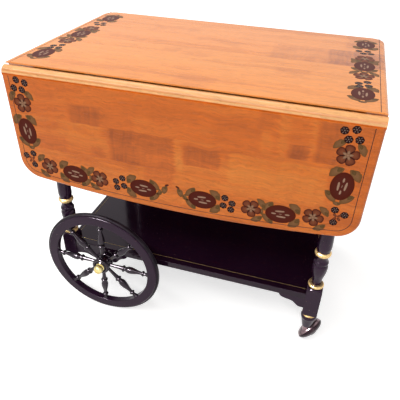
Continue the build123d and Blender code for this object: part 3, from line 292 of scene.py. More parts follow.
def stained_maple(name, stain, across, boards, patches, shine, rubbed=()):
    """Maple boards glued edge to edge, honey-stained and sprayed with satin varnish.

    Stain sinks unevenly into maple. It gives burnt-orange patches with streaky ends that stop at a glue
    joint, a faint curl across the grain inside them, and fine short pores that run along the board.
    `boards` are (glue joint, share of light wood). On a rounded-over edge the wood is paler, with a
    painted highlight and painted shade, and `rubbed` are (place across, share of pale wood). Both places
    are in millimetres.
    """
    wood = bpy.context.scene.trolley_wood
    material, tree, place = blank(name)
    axes = add(tree, "ShaderNodeSeparateXYZ", {0: place})
    board = value_along(tree, axes.outputs[across], boards)
    board.color_ramp.interpolation = "CONSTANT"
    own = add(tree, "ShaderNodeVectorMath", {0: board, "Scale": BOARD_SHIFT}, operation="SCALE")
    moved = add(tree, "ShaderNodeVectorMath", {0: place, 1: own}, operation="ADD")

    wander = add(tree, "ShaderNodeTexNoise", {"Vector": moved, "Scale": spacing(62.5), "Detail": 3.0})
    shake = add(
        tree, "ShaderNodeVectorMath", {0: wander.outputs["Color"], 1: (0.5, 0.5, 0.5)},
        operation="SUBTRACT")
    bend = add(tree, "ShaderNodeVectorMath", {0: shake, "Scale": BEND}, operation="SCALE")
    bent = add(tree, "ShaderNodeVectorMath", {0: moved, 1: bend}, operation="ADD")
    long = add(tree, "ShaderNodeVectorMath", {0: bent, 1: ALONG_GRAIN}, operation="MULTIPLY")
    upright = add(tree, "ShaderNodeVectorMath", {0: bent, 1: ACROSS_GRAIN}, operation="MULTIPLY")

    streaks = add(tree, "ShaderNodeTexNoise", {"Vector": long, "Scale": spacing(5.2632), "Detail": 3.0})
    cloud = add(
        tree, "ShaderNodeTexNoise",
        {"Vector": long, "Scale": spacing(41.667), "Detail": 4.0, "Roughness": 0.6})
    curl = add(tree, "ShaderNodeTexNoise", {"Vector": upright, "Scale": 1 / wood.curl, "Detail": 2.0})
    pores = add(
        tree, "ShaderNodeTexNoise",
        {"Vector": long, "Scale": 1 / wood.fleck, "Detail": 3.0, "Roughness": 0.6})

    slip = add(tree, "ShaderNodeMapRange", {0: streaks, 1: 0.3, 2: 0.7, 3: -5.0 * MM, 4: 5.0 * MM})
    push = add(tree, "ShaderNodeCombineXYZ", {0: slip})
    jag = add(tree, "ShaderNodeVectorMath", {0: bend, "Scale": 0.4}, operation="SCALE")
    edge = add(tree, "ShaderNodeVectorMath", {0: place, 1: push}, operation="ADD")
    edge = add(tree, "ShaderNodeVectorMath", {0: edge, 1: jag}, operation="ADD")
    sunk = patches_of(tree, edge, across, patches)
    rippled = add(tree, "ShaderNodeMapRange", {0: curl, 1: 0.35, 2: 0.65, 3: 0.72, 4: 1.2})
    deep = add(tree, "ShaderNodeMath", {0: sunk, 1: rippled}, operation="MULTIPLY")
    broad = add(tree, "ShaderNodeMapRange", {0: cloud, 1: 0.32, 2: 0.68, 3: -0.26, 4: 0.3})
    dark = add(tree, "ShaderNodeMath", {0: deep, 1: broad}, operation="ADD", use_clamp=True)
    spared = add(tree, "ShaderNodeMath", {0: broad, 1: -0.6, 2: board}, operation="MULTIPLY_ADD")
    spared = add(
        tree, "ShaderNodeMath", {0: deep, 1: -1.0, 2: spared}, operation="MULTIPLY_ADD", use_clamp=True)
    body = add(tree, "ShaderNodeMix", {"Factor": spared, 6: stain, 7: wood.light}, data_type="RGBA")
    stained = add(
        tree, "ShaderNodeMix", {"Factor": dark, 6: body.outputs[2], 7: wood.figure}, data_type="RGBA")
    # painted highlight and painted shade across the leaf's rounded edge, on wood paler than its board
    if rubbed:
        thin = value_along(tree, axes.outputs[across], rubbed)
        stained = add(
            tree, "ShaderNodeMix", {"Factor": thin, 6: stained.outputs[2], 7: PALE_WOOD_AND_HIGHLIGHT},
            data_type="RGBA")
    line = add(tree, "ShaderNodeMapRange", {0: streaks, 1: 0.3, 2: 0.7, 3: 0.86, 4: 1.1})
    lined = add(
        tree, "ShaderNodeVectorMath", {0: stained.outputs[2], "Scale": line}, operation="SCALE")
    pit = add(tree, "ShaderNodeMapRange", {0: pores, 1: 0.3, 2: 0.5, 3: 0.8, 4: 1.0})
    pitted = add(tree, "ShaderNodeVectorMath", {0: lined, "Scale": pit}, operation="SCALE")
    sheen = add(tree, "ShaderNodeMapRange", {0: cloud, 1: 0.3, 2: 0.7, 3: 0.22, 4: 0.3})
    bump = add(tree, "ShaderNodeBump", {"Height": pores, "Strength": 0.1, "Distance": 0.3 * MM})
    return surfaced(material, {
        "Base Color": pitted, "Roughness": sheen, "Normal": bump, "IOR": 1.5,
        "Specular IOR Level": shine})


def black_lacquer(name, rings=(), gloss=0.07, shine=0.27, black=None, lifted="#2C182C"):
    """Black lacquer brushed on wood and rubbed to a soft gloss, with a trace of plum in the light.

    It is almost black by itself and mostly shows what it reflects. The painted gilt rings of a leg are
    given as heights from and to, in millimetres.
    """
    paint = bpy.context.scene.trolley_paint
    material, tree, place = blank(name)
    cloud = add(tree, "ShaderNodeTexNoise", {"Vector": place, "Scale": spacing(111.11), "Detail": 4.0})
    brushed = add(tree, "ShaderNodeVectorMath", {0: place, 1: (0.08, 1.0, 1.0)}, operation="MULTIPLY")
    marks = add(tree, "ShaderNodeTexNoise", {"Vector": brushed, "Scale": 1 / paint.brush, "Detail": 2.0})
    specks = add(tree, "ShaderNodeTexNoise", {"Vector": place, "Scale": spacing(3.8462), "Detail": 5.0})
    worn = add(tree, "ShaderNodeMapRange", {0: specks, 1: 0.69, 2: 0.74})
    shade = add(
        tree, "ShaderNodeMix",
        {"Factor": cloud, 6: colour(black) if black else paint.black, 7: colour(lifted)},
        data_type="RGBA")
    lacquer = add(
        tree, "ShaderNodeMix", {"Factor": worn, 6: shade.outputs[2], 7: colour("#6E5648")},
        data_type="RGBA")
    rough = add(tree, "ShaderNodeMapRange", {0: cloud, 1: 0.3, 2: 0.7, 3: gloss, 4: gloss + 0.12})
    metallic = 0.0
    if rings:
        axes = add(tree, "ShaderNodeSeparateXYZ", {0: place})
        wobble = add(tree, "ShaderNodeTexNoise", {"Vector": place, "Scale": spacing(16.667)})
        height = add(
            tree, "ShaderNodeMath", {0: wobble, 1: RING_WOBBLE * MM, 2: axes.outputs[2]},
            operation="MULTIPLY_ADD")
        stops = [(rings[0][0] - RING_ROOM, 0.0)]
        for start, end in rings:
            for at, value in ((start, 0.0), (end, 1.0)):
                middle = at + RING_WOBBLE / 2
                stops += [(middle - RING_EDGE, value), (middle + RING_EDGE, 1.0 - value)]
        stops.append((rings[-1][1] + RING_ROOM, 0.0))
        band = value_along(tree, height, stops)
        rubbed = add(tree, "ShaderNodeMapRange", {0: specks, 1: 0.62, 2: 0.7, 3: 1.0, 4: 0.25})
        gilt = add(tree, "ShaderNodeMath", {0: band, 1: rubbed}, operation="MULTIPLY")
        lacquer = add(
            tree, "ShaderNodeMix", {"Factor": gilt, 6: lacquer.outputs[2], 7: paint.gilt},
            data_type="RGBA")
        rough = add(tree, "ShaderNodeMix", {"Factor": gilt, 2: rough, 3: 0.3})
        metallic = add(tree, "ShaderNodeMath", {0: gilt, 1: 0.6}, operation="MULTIPLY")
    bump = add(tree, "ShaderNodeBump", {"Height": marks, "Strength": 0.08, "Distance": 0.2 * MM})
    return surfaced(material, {
        "Base Color": lacquer.outputs[2], "Roughness": rough, "Metallic": metallic, "Normal": bump,
        "IOR": 1.5, "Specular IOR Level": shine, "Specular Tint": PLUM_SHEEN})


def metal(name, pale, dull, roughness):
    """A bare metal surface with fine turning or rolling marks and patches that have dulled.

    The marks are drawn coarser than real ones, which wouldn't show at this size.
    """
    material, tree, place = blank(name)
    cloud = add(tree, "ShaderNodeTexNoise", {"Vector": place, "Scale": spacing(22.222), "Detail": 5.0})
    drawn = add(tree, "ShaderNodeVectorMath", {0: place, 1: (0.1, 1.0, 1.0)}, operation="MULTIPLY")
    marks = add(tree, "ShaderNodeTexNoise", {"Vector": drawn, "Scale": spacing(0.6), "Detail": 2.0})
    tarnish = add(tree, "ShaderNodeMapRange", {0: cloud, 1: 0.42, 2: 0.68})
    base = add(
        tree, "ShaderNodeMix", {"Factor": tarnish, 6: colour(pale), 7: colour(dull)}, data_type="RGBA")
    rough = add(
        tree, "ShaderNodeMapRange", {0: cloud, 1: 0.3, 2: 0.7, 3: roughness - 0.05, 4: roughness + 0.13})
    bump = add(tree, "ShaderNodeBump", {"Height": marks, "Strength": 0.1, "Distance": 0.1 * MM})
    return surfaced(material, {
        "Base Color": base.outputs[2], "Roughness": rough, "Metallic": 1.0, "Normal": bump})


def hard_rubber(name, black, dusty, roughness):
    """Hard rubber, dull black, with a soft grey bloom of dust in patches.

    Its grit is drawn a millimetre wide, because real grit wouldn't show.
    """
    material, tree, place = blank(name)
    cloud = add(tree, "ShaderNodeTexNoise", {"Vector": place, "Scale": spacing(26.316), "Detail": 6.0})
    grit = add(tree, "ShaderNodeTexNoise", {"Vector": place, "Scale": spacing(1.1111), "Detail": 2.0})
    dust = add(tree, "ShaderNodeMapRange", {0: cloud, 1: 0.45, 2: 0.72, 3: 0.0, 4: 0.8})
    base = add(
        tree, "ShaderNodeMix", {"Factor": dust, 6: colour(black), 7: colour(dusty)}, data_type="RGBA")
    rough = add(
        tree, "ShaderNodeMapRange", {0: cloud, 1: 0.3, 2: 0.7, 3: roughness - 0.06, 4: roughness + 0.1})
    bump = add(tree, "ShaderNodeBump", {"Height": grit, "Strength": 0.2, "Distance": 0.2 * MM})
    return surfaced(material, {
        "Base Color": base.outputs[2], "Roughness": rough, "Normal": bump, "IOR": 1.52,
        "Specular IOR Level": 0.14, "Specular Tint": PLUM_SHEEN})


def bare_wood(name, pale, dark, along):
    """Bare beech, planed and unfinished: pale, dry, with short pores along the grain.

    The pores are drawn a millimetre apart, a little coarser than real ones. `along` draws them out.
    """
    material, tree, place = blank(name)
    drawn = add(tree, "ShaderNodeVectorMath", {0: place, 1: along}, operation="MULTIPLY")
    grain = add(tree, "ShaderNodeTexNoise", {"Vector": drawn, "Scale": spacing(6.25), "Detail": 5.0})
    pores = add(tree, "ShaderNodeTexNoise", {"Vector": drawn, "Scale": spacing(1.1111), "Detail": 2.0})
    tone = add(
        tree, "ShaderNodeValToRGB", {0: grain}, stops=[(0.3, colour(dark)), (0.62, colour(pale))])
    pit = add(tree, "ShaderNodeMapRange", {0: pores, 1: 0.3, 2: 0.5, 3: 0.8, 4: 1.0})
    base = add(tree, "ShaderNodeVectorMath", {0: tone, "Scale": pit}, operation="SCALE")
    bump = add(tree, "ShaderNodeBump", {"Height": pores, "Strength": 0.2, "Distance": 0.2 * MM})
    return surfaced(material, {"Base Color": base, "Roughness": 0.62, "Normal": bump, "IOR": 1.5})


def stencil_ink(name):
    """Bronzed stencil colours under the varnish.

    Powder is rubbed through the stencil on tacky size, so each shape is dense at its rim and fades
    inwards to a paler tone, with a soft speckle.
    """
    inks = bpy.context.scene.trolley_stencil
    material, tree, place = blank(name)
    ink = add(tree, "ShaderNodeAttribute", attribute_name="ink").outputs["Fac"]
    depth = add(tree, "ShaderNodeAttribute", attribute_name="depth").outputs["Fac"]
    dense, faded = (
        add(tree, "ShaderNodeValToRGB", {0: ink}, stops=list(zip(INK_STEPS, shades)))
        for shades in (
            (inks.berry, inks.medallion, colour("#4A1A10"), inks.foliage, colour("#5A4222"),
             colour("#7A5038"), colour("#8C7A70"), inks.seed),
            (colour("#301412"), colour("#54221A"), inks.petal, colour("#845C3C"), colour("#684C2E"),
             colour("#9C7A60"), colour("#8C7A70"), inks.seed)))
    dense.color_ramp.interpolation = faded.color_ramp.interpolation = "CONSTANT"
    powder = add(tree, "ShaderNodeTexNoise", {"Vector": place, "Scale": spacing(2.6316), "Detail": 4.0})
    dusting = add(tree, "ShaderNodeMath", {0: powder, 1: 0.6, 2: -0.3}, operation="MULTIPLY_ADD")
    inward = add(tree, "ShaderNodeMath", {0: depth, 1: dusting}, operation="ADD", use_clamp=True)
    base = add(tree, "ShaderNodeMix", {"Factor": inward, 6: dense, 7: faded}, data_type="RGBA")
    return surfaced(
        material, {"Base Color": base.outputs[2], "Roughness": 0.36, "Specular IOR Level": 0.05})


def line_paint(name, dark, light, metallic):
    """A line of paint pulled with a striping brush, a little thin and pale in places."""
    material, tree, place = blank(name)
    thin = add(tree, "ShaderNodeTexNoise", {"Vector": place, "Scale": spacing(11.111), "Detail": 4.0})
    fade = add(tree, "ShaderNodeMapRange", {0: thin, 1: 0.4, 2: 0.7})
    base = add(
        tree, "ShaderNodeMix", {"Factor": fade, 6: colour(dark), 7: colour(light)}, data_type="RGBA")
    return surfaced(material, {
        "Base Color": base.outputs[2], "Roughness": 0.4, "Metallic": metallic,
        "Specular IOR Level": 0.2})


# ---------------------------------------------------------------- stencil drawings, in millimetres
BERRY_INK, MEDALLION_INK, PETAL_INK, FOLIAGE_INK, OLIVE_INK, STAMEN_INK, DASH_INK, SEED_INK = (
    0.05, 0.15, 0.25, 0.35, 0.45, 0.55, 0.65, 0.75)
INK_STEPS = (0.0, 0.1, 0.2, 0.3, 0.4, 0.5, 0.6, 0.7)      # where each ink starts on the ramp
BERRY_RADIUS = 9.2
SUNK = 0.05 * MM        # how far a coat reaches into its board
LIFT = 0.002 * MM       # each shape lies this much above the one before it
WELD = 0.0001 * MM      # corners closer than this are joined


def turned(outline, degrees, centre=(0.0, 0.0)):
    """Turn an outline about its own origin and move it."""
    c, s = math.cos(math.radians(degrees)), math.sin(math.radians(degrees))
    return [(centre[0] + c * u - s * v, centre[1] + s * u + c * v) for u, v in outline]


def almond(length, width, steps, blunt=0.8):
    """An almond with its points on the u axis."""
    side = [(-length / 2 * math.cos(math.pi * k / steps),
             width / 2 * max(math.sin(math.pi * k / steps), 0.0) ** blunt) for k in range(steps + 1)]
    return [(u, -v) for u, v in side] + [(u, v) for u, v in reversed(side[1:-1])]


def round_shape(radius, steps, scallops=0, depth=0.0):
    """A disc, or one with a scalloped rim."""
    outline = []
    for k in range(steps):
        angle = 2 * math.pi * k / steps
        reach = radius * (1 - depth * (1 - math.cos(scallops * angle)) / 2)
        outline.append((reach * math.cos(angle), reach * math.sin(angle)))
    return outline


def petal(inner, outer, width, steps):
    """A rounded petal that points along u."""
    outline = []
    for k in range(steps):
        angle = 2 * math.pi * k / steps
        u = (inner + outer) / 2 + (outer - inner) / 2 * math.cos(angle)
        swell = 0.72 + 0.28 * math.cos(angle)
        outline.append((u, width / 2 * math.sin(angle) * swell))
    return outline


def fan(count, first, outline):
    """The same outline turned evenly round the centre."""
    return [turned(outline, first + 360 * k / count) for k in range(count)]


def foliage_leaf(centre, degrees, length, width, lobes=3):
    """A stencilled leaf: one side flatter, the other swelling in lobes, with a darker tip."""
    steps = 12
    outer, inner = [], []
    for k in range(steps + 1):
        along = k / steps
        u = length * (along - 0.5)
        swell = max(math.sin(math.pi * along), 0.0) ** 0.7
        outer.append((u, width * 0.62 * swell * (0.88 + 0.12 * abs(math.cos(lobes * math.pi * along)))))
        inner.append((u, -width * 0.3 * swell))
    outline = inner + list(reversed(outer[1:-1]))
    tip = [(0.22 * length + 0.34 * u, 0.06 * width + 0.42 * v) for u, v in outline]
    return [(turned(shape, degrees, centre), ink, coat)
            for shape, ink, coat in ((outline, FOLIAGE_INK, 1), (tip, OLIVE_INK, 2))]


def berry(centre, radius):
    """A dark berry with a ring of fine pale dashes and a pale eye."""
    rim = round_shape(radius, 28, 7, 0.1)
    dash = turned(almond(radius * 0.44, radius * 0.12, 4), 0, (radius * 0.56, 0.0))
    shapes = [(turned(rim, 11, centre), BERRY_INK, 1)]
    for k in range(6):
        shapes.append((turned(dash, 60 * k, centre), DASH_INK, 2))
    shapes.append((turned(round_shape(radius * 0.14, 8), 0, centre), DASH_INK, 2))
    return shapes


def medallion():
    """An oval medallion with long and short seeds, held by four leaves and a lobe at one end."""
    shapes = []
    leaf = foliage_leaf((0, 0), 0, 36, 23)
    for u_side, v_side in ((-1, -1), (-1, 1), (1, -1), (1, 1)):
        for outline, ink, coat in leaf:
            faced = [(u, v * u_side * v_side) for u, v in outline]
            placed = turned(faced, -46 * u_side * v_side, (30.5 * u_side, 18.5 * v_side))
            shapes.append((placed, ink, coat))
    shapes += foliage_leaf((-43.0, 0), 90, 18, 12, 1)
    shapes.append((almond(70, 49, 26, 1.03), MEDALLION_INK, 3))
    for side in (-1, 1):
        shapes.append((turned(almond(11, 4.2, 6), 0, (side * 15.5, 0)), SEED_INK, 4))
        shapes.append((turned(almond(22, 4.6, 8), side * 3, (side * 1.5, side * 7.4)), SEED_INK, 4))
    shapes.append((almond(7, 1.3, 6), SEED_INK, 4))
    return shapes


def flower():
    """Five broad round petals, darker at their rims, about a soft tan star, with a leaf on two sides."""
    shapes = foliage_leaf((-21.5, 19.0), 48, 33, 18)
    shapes += [([(-u, v) for u, v in outline], ink, coat) for outline, ink, coat in shapes]
    shapes += [(outline, PETAL_INK, 3) for outline in fan(5, 90, petal(1.5, 24.5, 27.0, 18))]
    for first, sliver, ink, coat in (
            (54, turned(almond(12, 2.2, 6), 0, (10.5, 0)), BERRY_INK, 4),
            (90, turned(almond(12, 6.0, 6), 0, (6.0, 0)), STAMEN_INK, 5)):
        shapes += [(outline, ink, coat) for outline in fan(5, first, sliver)]
    shapes.append((round_shape(3.6, 12), STAMEN_INK, 6))
    return shapes


def berries(*places):
    """Berries set about one middle."""
    shapes = []
    for centre in places:
        shapes += berry(centre, BERRY_RADIUS)
    return shapes


def side_spray():
    """The four berries at the head of a side."""
    return berries((-6, 11), (16, 6), (-16, -10), (5, -12))


def berry_spray():
    """The four berries between the larger motifs of a row."""
    return berries((-10, 4), (8, 16), (11, -6), (-8, -14))


def corner_spray():
    """Three berries round a sprig of four small leaves."""
    shapes = berries((-15, 8), (7, 17), (5, -16))
    small_leaf = turned(almond(10, 6.0, 6), 0, (6.5, 0))
    for k in range(4):
        shapes.append((turned(small_leaf, 45 + 90 * k, (0, -1)), PETAL_INK, 1))
    return shapes


def tip_spray():
    """A half-fan of two lobed leaves and a bud that end the border."""
    shapes = foliage_leaf((2, 2), 78, 26, 17)
    shapes += foliage_leaf((-11, -12), 40, 20, 10)
    shapes.append((turned(almond(11, 5.5, 6), 30, (4, 17)), MEDALLION_INK, 1))
    return shapes


# the names sort in this order, and a collection gives its pieces sorted by name
MOTIFS = {
    "a_medallion": medallion, "b_flower": flower, "c_berries": berry_spray, "d_corner": corner_spray,
    "e_tip": tip_spray, "f_side": side_spray}
MEDALLION, FLOWER, BERRIES, CORNER, TIP, SIDE = range(6)


def film_mesh(name, shapes, film):
    """Closed thin plates from outlines in millimetres, with the ink number at each point, and its depth:
    0 at the rim of the shape and 1 at its middle."""
    verts, faces, inks, depths = [], [], [], []
    for order, (outline, ink, coat) in enumerate(shapes):
        count = len(outline)
        face = coat * film + order * LIFT
        cu = sum(u for u, v in outline) / count
        cv = sum(v for u, v in outline) / count
        first = len(verts)
        # three rings of points: the rim in the board, the rim on its face, and where the powder thins
        for share, height, depth in ((1.0, -SUNK, 0.0), (1.0, face, 0.0), (0.6, face, 0.6)):
            for u, v in outline:
                verts.append(((cu + share * (u - cu)) * MM, (cv + share * (v - cv)) * MM, height))
                inks.append(ink)
                depths.append(depth)
        for height, depth in ((face, 1.0), (-SUNK, 0.0)):
            verts.append((cu * MM, cv * MM, height))
            inks.append(ink)
            depths.append(depth)
        top, under = first + 3 * count, first + 3 * count + 1
        for k in range(count):
            n = (k + 1) % count
            for ring in (0, 1):
                a = first + ring * count
                faces.append((a + k, a + n, a + count + n, a + count + k))
            faces.append((first + 2 * count + k, first + 2 * count + n, top))
            faces.append((first + n, first + k, under))
    mesh = bpy.data.meshes.new(name)
    mesh.from_pydata(verts, [], faces)
    for label, values in (("ink", inks), ("depth", depths)):
        mesh.attributes.new(label, "FLOAT", "POINT").data.foreach_set("value", values)
    return mesh


# ---------------------------------------------------------------- geometry nodes
BORDER_VALUES = (("motif", "INT"), ("turn", "FLOAT"), ("mirror", "FLOAT"))     # each point's own


def new_tree(name, *inputs):
    """A geometry tree with its named inputs. Gives the tree, its input node and the inputs' keys."""
    tree = bpy.data.node_groups.new(name, "GeometryNodeTree")
    tree.interface.new_socket("Geometry", in_out="OUTPUT", socket_type="NodeSocketGeometry")
    for label, kind in (("Geometry", "Geometry"), *inputs, ("Place", "Vector"), ("Turn", "Vector"),
                        ("Material", "Material")):
        tree.interface.new_socket(label, in_out="INPUT", socket_type="NodeSocket" + kind)
    keys = {item.name: item.identifier for item in tree.interface.items_tree if item.in_out == "INPUT"}
    return tree, add(tree, "NodeGroupInput"), keys


def end_tree(tree, start, drawn):
    """Lay what was drawn on its board, make it real, give it its material and end the tree."""
    laid = add(
        tree, "GeometryNodeTransform",
        {"Geometry": drawn, "Translation": start.outputs["Place"], "Rotation": start.outputs["Turn"]})
    real = add(tree, "GeometryNodeRealizeInstances", {"Geometry": laid})
    done = add(
        tree, "GeometryNodeSetMaterial", {"Geometry": real, "Material": start.outputs["Material"]})
    add(tree, "NodeGroupOutput", {0: done})


def border_tree():
    """Sets a motif on each point of a border."""
    tree, start, keys = new_tree("stencil border", ("Motifs", "Collection"), ("Size", "Float"))
    motifs = add(
        tree, "GeometryNodeCollectionInfo",
        {"Collection": start.outputs["Motifs"], "Separate Children": True, "Reset Children": True})
    motif, turn, mirror = (
        add(tree, "GeometryNodeInputNamedAttribute", {"Name": label}, data_type=kind)
        for label, kind in BORDER_VALUES)
    spin = add(tree, "ShaderNodeCombineXYZ", {2: turn})
    rotation = add(tree, "FunctionNodeEulerToRotation", {0: spin})
    flipped = add(tree, "ShaderNodeMath", {0: start.outputs["Size"], 1: mirror}, operation="MULTIPLY")
    scale = add(tree, "ShaderNodeCombineXYZ", {0: start.outputs["Size"], 1: flipped, 2: 1.0})
    placed = add(
        tree, "GeometryNodeInstanceOnPoints",
        {"Points": start.outputs["Geometry"], "Instance": motifs, "Pick Instance": True,
         "Instance Index": motif, "Rotation": rotation, "Scale": scale})
    end_tree(tree, start, placed)
    return tree, keys


def lining_tree():
    """Draws a flat painted line along each path."""
    tree, start, keys = new_tree("lining", ("Width", "Float"), ("Film", "Float"))
    path = add(tree, "GeometryNodeMeshToCurve", {0: start.outputs["Geometry"]})
    flat = add(tree, "GeometryNodeSetCurveNormal", {0: path})
    flat.mode = "Z_UP"
    profile = add(
        tree, "GeometryNodeCurvePrimitiveQuadrilateral",
        {"Width": start.outputs["Width"], "Height": start.outputs["Film"]})
    line = add(
        tree, "GeometryNodeCurveToMesh", {"Curve": flat, "Profile Curve": profile, "Fill Caps": True})
    end_tree(tree, start, line)
    return tree, keys


def grow(name, mesh, tree, keys, values):
    """Run a geometry tree on a mesh and keep the result as one plain mesh."""
    seed = bpy.data.objects.new(name + "_points", mesh)
    bpy.context.scene.collection.objects.link(seed)
    modifier = seed.modifiers.new("grow", "NODES")
    modifier.node_group = tree
    for label, value in values.items():
        modifier[keys[label]] = value
    bpy.context.view_layer.update()
    graph = bpy.context.evaluated_depsgraph_get()
    made = bpy.data.meshes.new_from_object(
        seed.evaluated_get(graph), preserve_all_data_layers=True, depsgraph=graph)
    if not made.polygons:
        raise RuntimeError(name + " came out empty")
    bpy.data.objects.remove(seed)
    shell = bmesh.new()
    shell.from_mesh(made)
    bmesh.ops.remove_doubles(shell, verts=shell.verts, dist=WELD)
    bmesh.ops.recalc_face_normals(shell, faces=shell.faces)
    shell.to_mesh(made)
    shell.free()
    made.name = name
    piece = bpy.data.objects.new(name, made)
    bpy.context.scene.collection.objects.link(piece)
    return piece


# ---------------------------------------------------------------- where the decoration goes
FLAT = (0.0, 0.0, 0.0)                  # lays a drawing on a level board
LEAF_TURN = (math.pi / 2, 0.0, 0.0)     # lays it on the hanging leaf, facing out
BORDER_MIDDLE = -7.0 * MM               # the two halves of the leaf's border meet here
LEAF_BOW = 28 * MM                      # how far the leaf's lower edge bows down
LEAF_CORNER = 55 * MM                   # radius of the leaf's lower corners
LEAF_LINE_TOP = 706 * MM                # the leaf's line ends here, under the rule joint
LINE_FILM = 0.16 * MM                   # thickness of a painted line, half of it in the board
HALF_BLOCK = 20 * MM                    # half the width of the square blocks of the legs


def arc_points(centre, radius, start, end, steps):
    """Points along an arc, without its first one. The angles are in radians."""
    points = []
    for k in range(1, steps + 1):
        angle = start + (end - start) * k / steps
        points.append((centre[0] + radius * math.cos(angle), centre[1] + radius * math.sin(angle)))
    return points


def leaf_path(inset, steps=12):
    """The leaf's side, lower corner and bowed lower edge, set in from the edge, as points from the upper
    left down to the middle of the lower edge, in metres on the leaf's face."""
    low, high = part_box("drop_leaf")
    half = high.x
    reach = (half ** 2 + LEAF_BOW ** 2) / (2 * LEAF_BOW)
    centre_z = low.z + reach
    corner_x = half - LEAF_CORNER
    corner_z = centre_z - math.sqrt((reach - LEAF_CORNER) ** 2 - corner_x ** 2)
    end = math.atan2(corner_z - centre_z, -corner_x) % (2 * math.pi)
    return [
        (inset - half, LEAF_LINE_TOP), (inset - half, corner_z),
        *arc_points((-corner_x, corner_z), LEAF_CORNER - inset, math.pi, end, steps),
        *arc_points((0.0, centre_z), reach - inset, end, 1.5 * math.pi, 2 * steps)]


def border_points(name, places):
    """A mesh of loose points from rows of (u, v, motif, turn, mirror)."""
    mesh = bpy.data.meshes.new(name)
    mesh.from_pydata([(u, v, 0.0) for u, v, *rest in places], [], [])
    for column, (label, kind) in enumerate(BORDER_VALUES, 2):
        values = [row[column] for row in places]
        mesh.attributes.new(label, kind, "POINT").data.foreach_set("value", values)
    return mesh


def line_points(name, paths):
    """A mesh of open chains of edges."""
    mesh = bpy.data.meshes.new(name)
    verts, edges = [], []
    for path in paths:
        first = len(verts)
        verts += [(u, v, 0.0) for u, v in path]
        edges += [(first + k, first + k + 1) for k in range(len(path) - 1)]
    mesh.from_pydata(verts, edges, [])
    return mesh


def motif_collection(film):
    """The drawings as objects of one collection, in the order of their names."""
    group = bpy.data.collections.new("stencil motifs")
    for name, draw in MOTIFS.items():
        group.objects.link(bpy.data.objects.new(name, film_mesh(name, draw(), film)))
    return group


def drop_collection(group):
    """Remove the drawings once they have been used."""
    for piece in list(group.objects):
        bpy.data.objects.remove(piece)
    bpy.data.collections.remove(group)


# boards of the top across its width, and of the leaf upwards: the place in millimetres where each starts,
# and its share of light wood; the last row only closes the list
TOP_BOARDS = ((-280, 0.25), (-137, 0.40), (-77, 0.32), (-13, 0.05), (111, 0.14), (280, 0.14))
LEAF_BOARDS = ((400, 0.16), (527, 0.1), (612, 0.03), (740, 0.03))
# their figure: x from and to, place across from and to, in millimetres, and depth
TOP_FIGURE = (
    (150, 290, -13, 111, 0.26), (290, 425, -13, 111, 0.55), (-60, 60, 30, 111, 0.12),
    (-300, -190, -13, 60, 0.14), (330, 425, 111, 269, 0.2), (-220, -90, 111, 170, 0.14),
    (60, 180, 111, 200, 0.1), (-20, 70, -269, -200, 0.16), (-120, 10, -77, -13, 0.12),
    (180, 260, -137, -77, 0.14))
LEAF_FIGURE = (
    (-261, -177, 612, 657, 0.34), (-255, -100, 612, 660, 0.18), (189, 219, 668, 706, 0.36),
    (255, 294, 612, 645, 0.62), (294, 309, 612, 706, -0.14), (309, 351, 612, 706, 0.44),
    (87, 195, 640, 690, 0.12), (-60, 60, 640, 706, 0.08), (-345, -300, 660, 700, 0.16),
    (-162, -99, 527, 612, 0.62), (-99, -3, 527, 612, 0.36), (-3, 21, 527, 612, -0.18),
    (21, 105, 550, 600, 0.5), (-357, -279, 527, 567, 0.18), (-213, -183, 527, 555, 0.22),
    (129, 345, 527, 600, -0.22), (-75, -3, 485, 527, 0.14), (-300, -180, 575, 612, -0.12),
    (345, 440, 400, 706, 0.14), (195, 218, 612, 706, -0.16), (230, 250, 612, 706, -0.16))
# the leaf's moulded upper edge: paler wood with a painted highlight line low on it and a painted shade
# line above that; height in millimetres, share of pale wood
LEAF_EDGE_HIGHLIGHT = (
    (709.0, 0.0), (709.8, 0.9), (713.2, 0.9), (714.2, 0.4), (716.8, 0.4), (719.0, 0.72), (740.0, 0.8))
# the left half of the leaf's border: x and height in millimetres, motif, and turn in degrees
LEAF_BORDER = (
    (-385, 687, SIDE, 0), (-385, 640, FLOWER, 8), (-388, 566, MEDALLION, 94), (-392, 487, CORNER, 0),
    (-342, 474, FLOWER, 95), (-270, 465, MEDALLION, 176), (-201, 465, FLOWER, 100),
    (-146, 464, BERRIES, 0), (-83, 462, MEDALLION, 178), (-27, 468, TIP, -8))
# one end of the top's borders: how far across in millimetres, motif, and turn in degrees
TOP_BORDER = (
    (-183, MEDALLION, 90), (-126, BERRIES, 0), (-72, FLOWER, 0), (0, MEDALLION, 90), (60, FLOWER, 180),
    (113, BERRIES, 90), (184, MEDALLION, -90))
TOP_BORDER_X = 379 * MM
TOP_LINE_NEAR, TOP_LINE_BACK = 2 * MM, 8 * MM       # the top's lines end this far from its edges
# painted rings of the legs: heights from and to in millimetres
GILT_RINGS = ((117, 124), (224, 233.5), (330.5, 343.5))


# ---------------------------------------------------------------- operators
class TROLLEY_OT_boards(bpy.types.Operator):
    """Finish the top and the leaf in stained and varnished maple"""
    bl_idname = "trolley.boards"
    bl_label = "Finish boards"

    def execute(self, context):
        wood = context.scene.trolley_wood
        top = stained_maple("honey maple top", wood.top_stain, 1, TOP_BOARDS, TOP_FIGURE, 0.5)
        leaf = stained_maple(
            "honey maple leaf", wood.leaf_stain, 2, LEAF_BOARDS, LEAF_FIGURE, 0.3, LEAF_EDGE_HIGHLIGHT)
        finish(top, "table_top")
        finish(leaf, "drop_leaf")
        return {"FINISHED"}


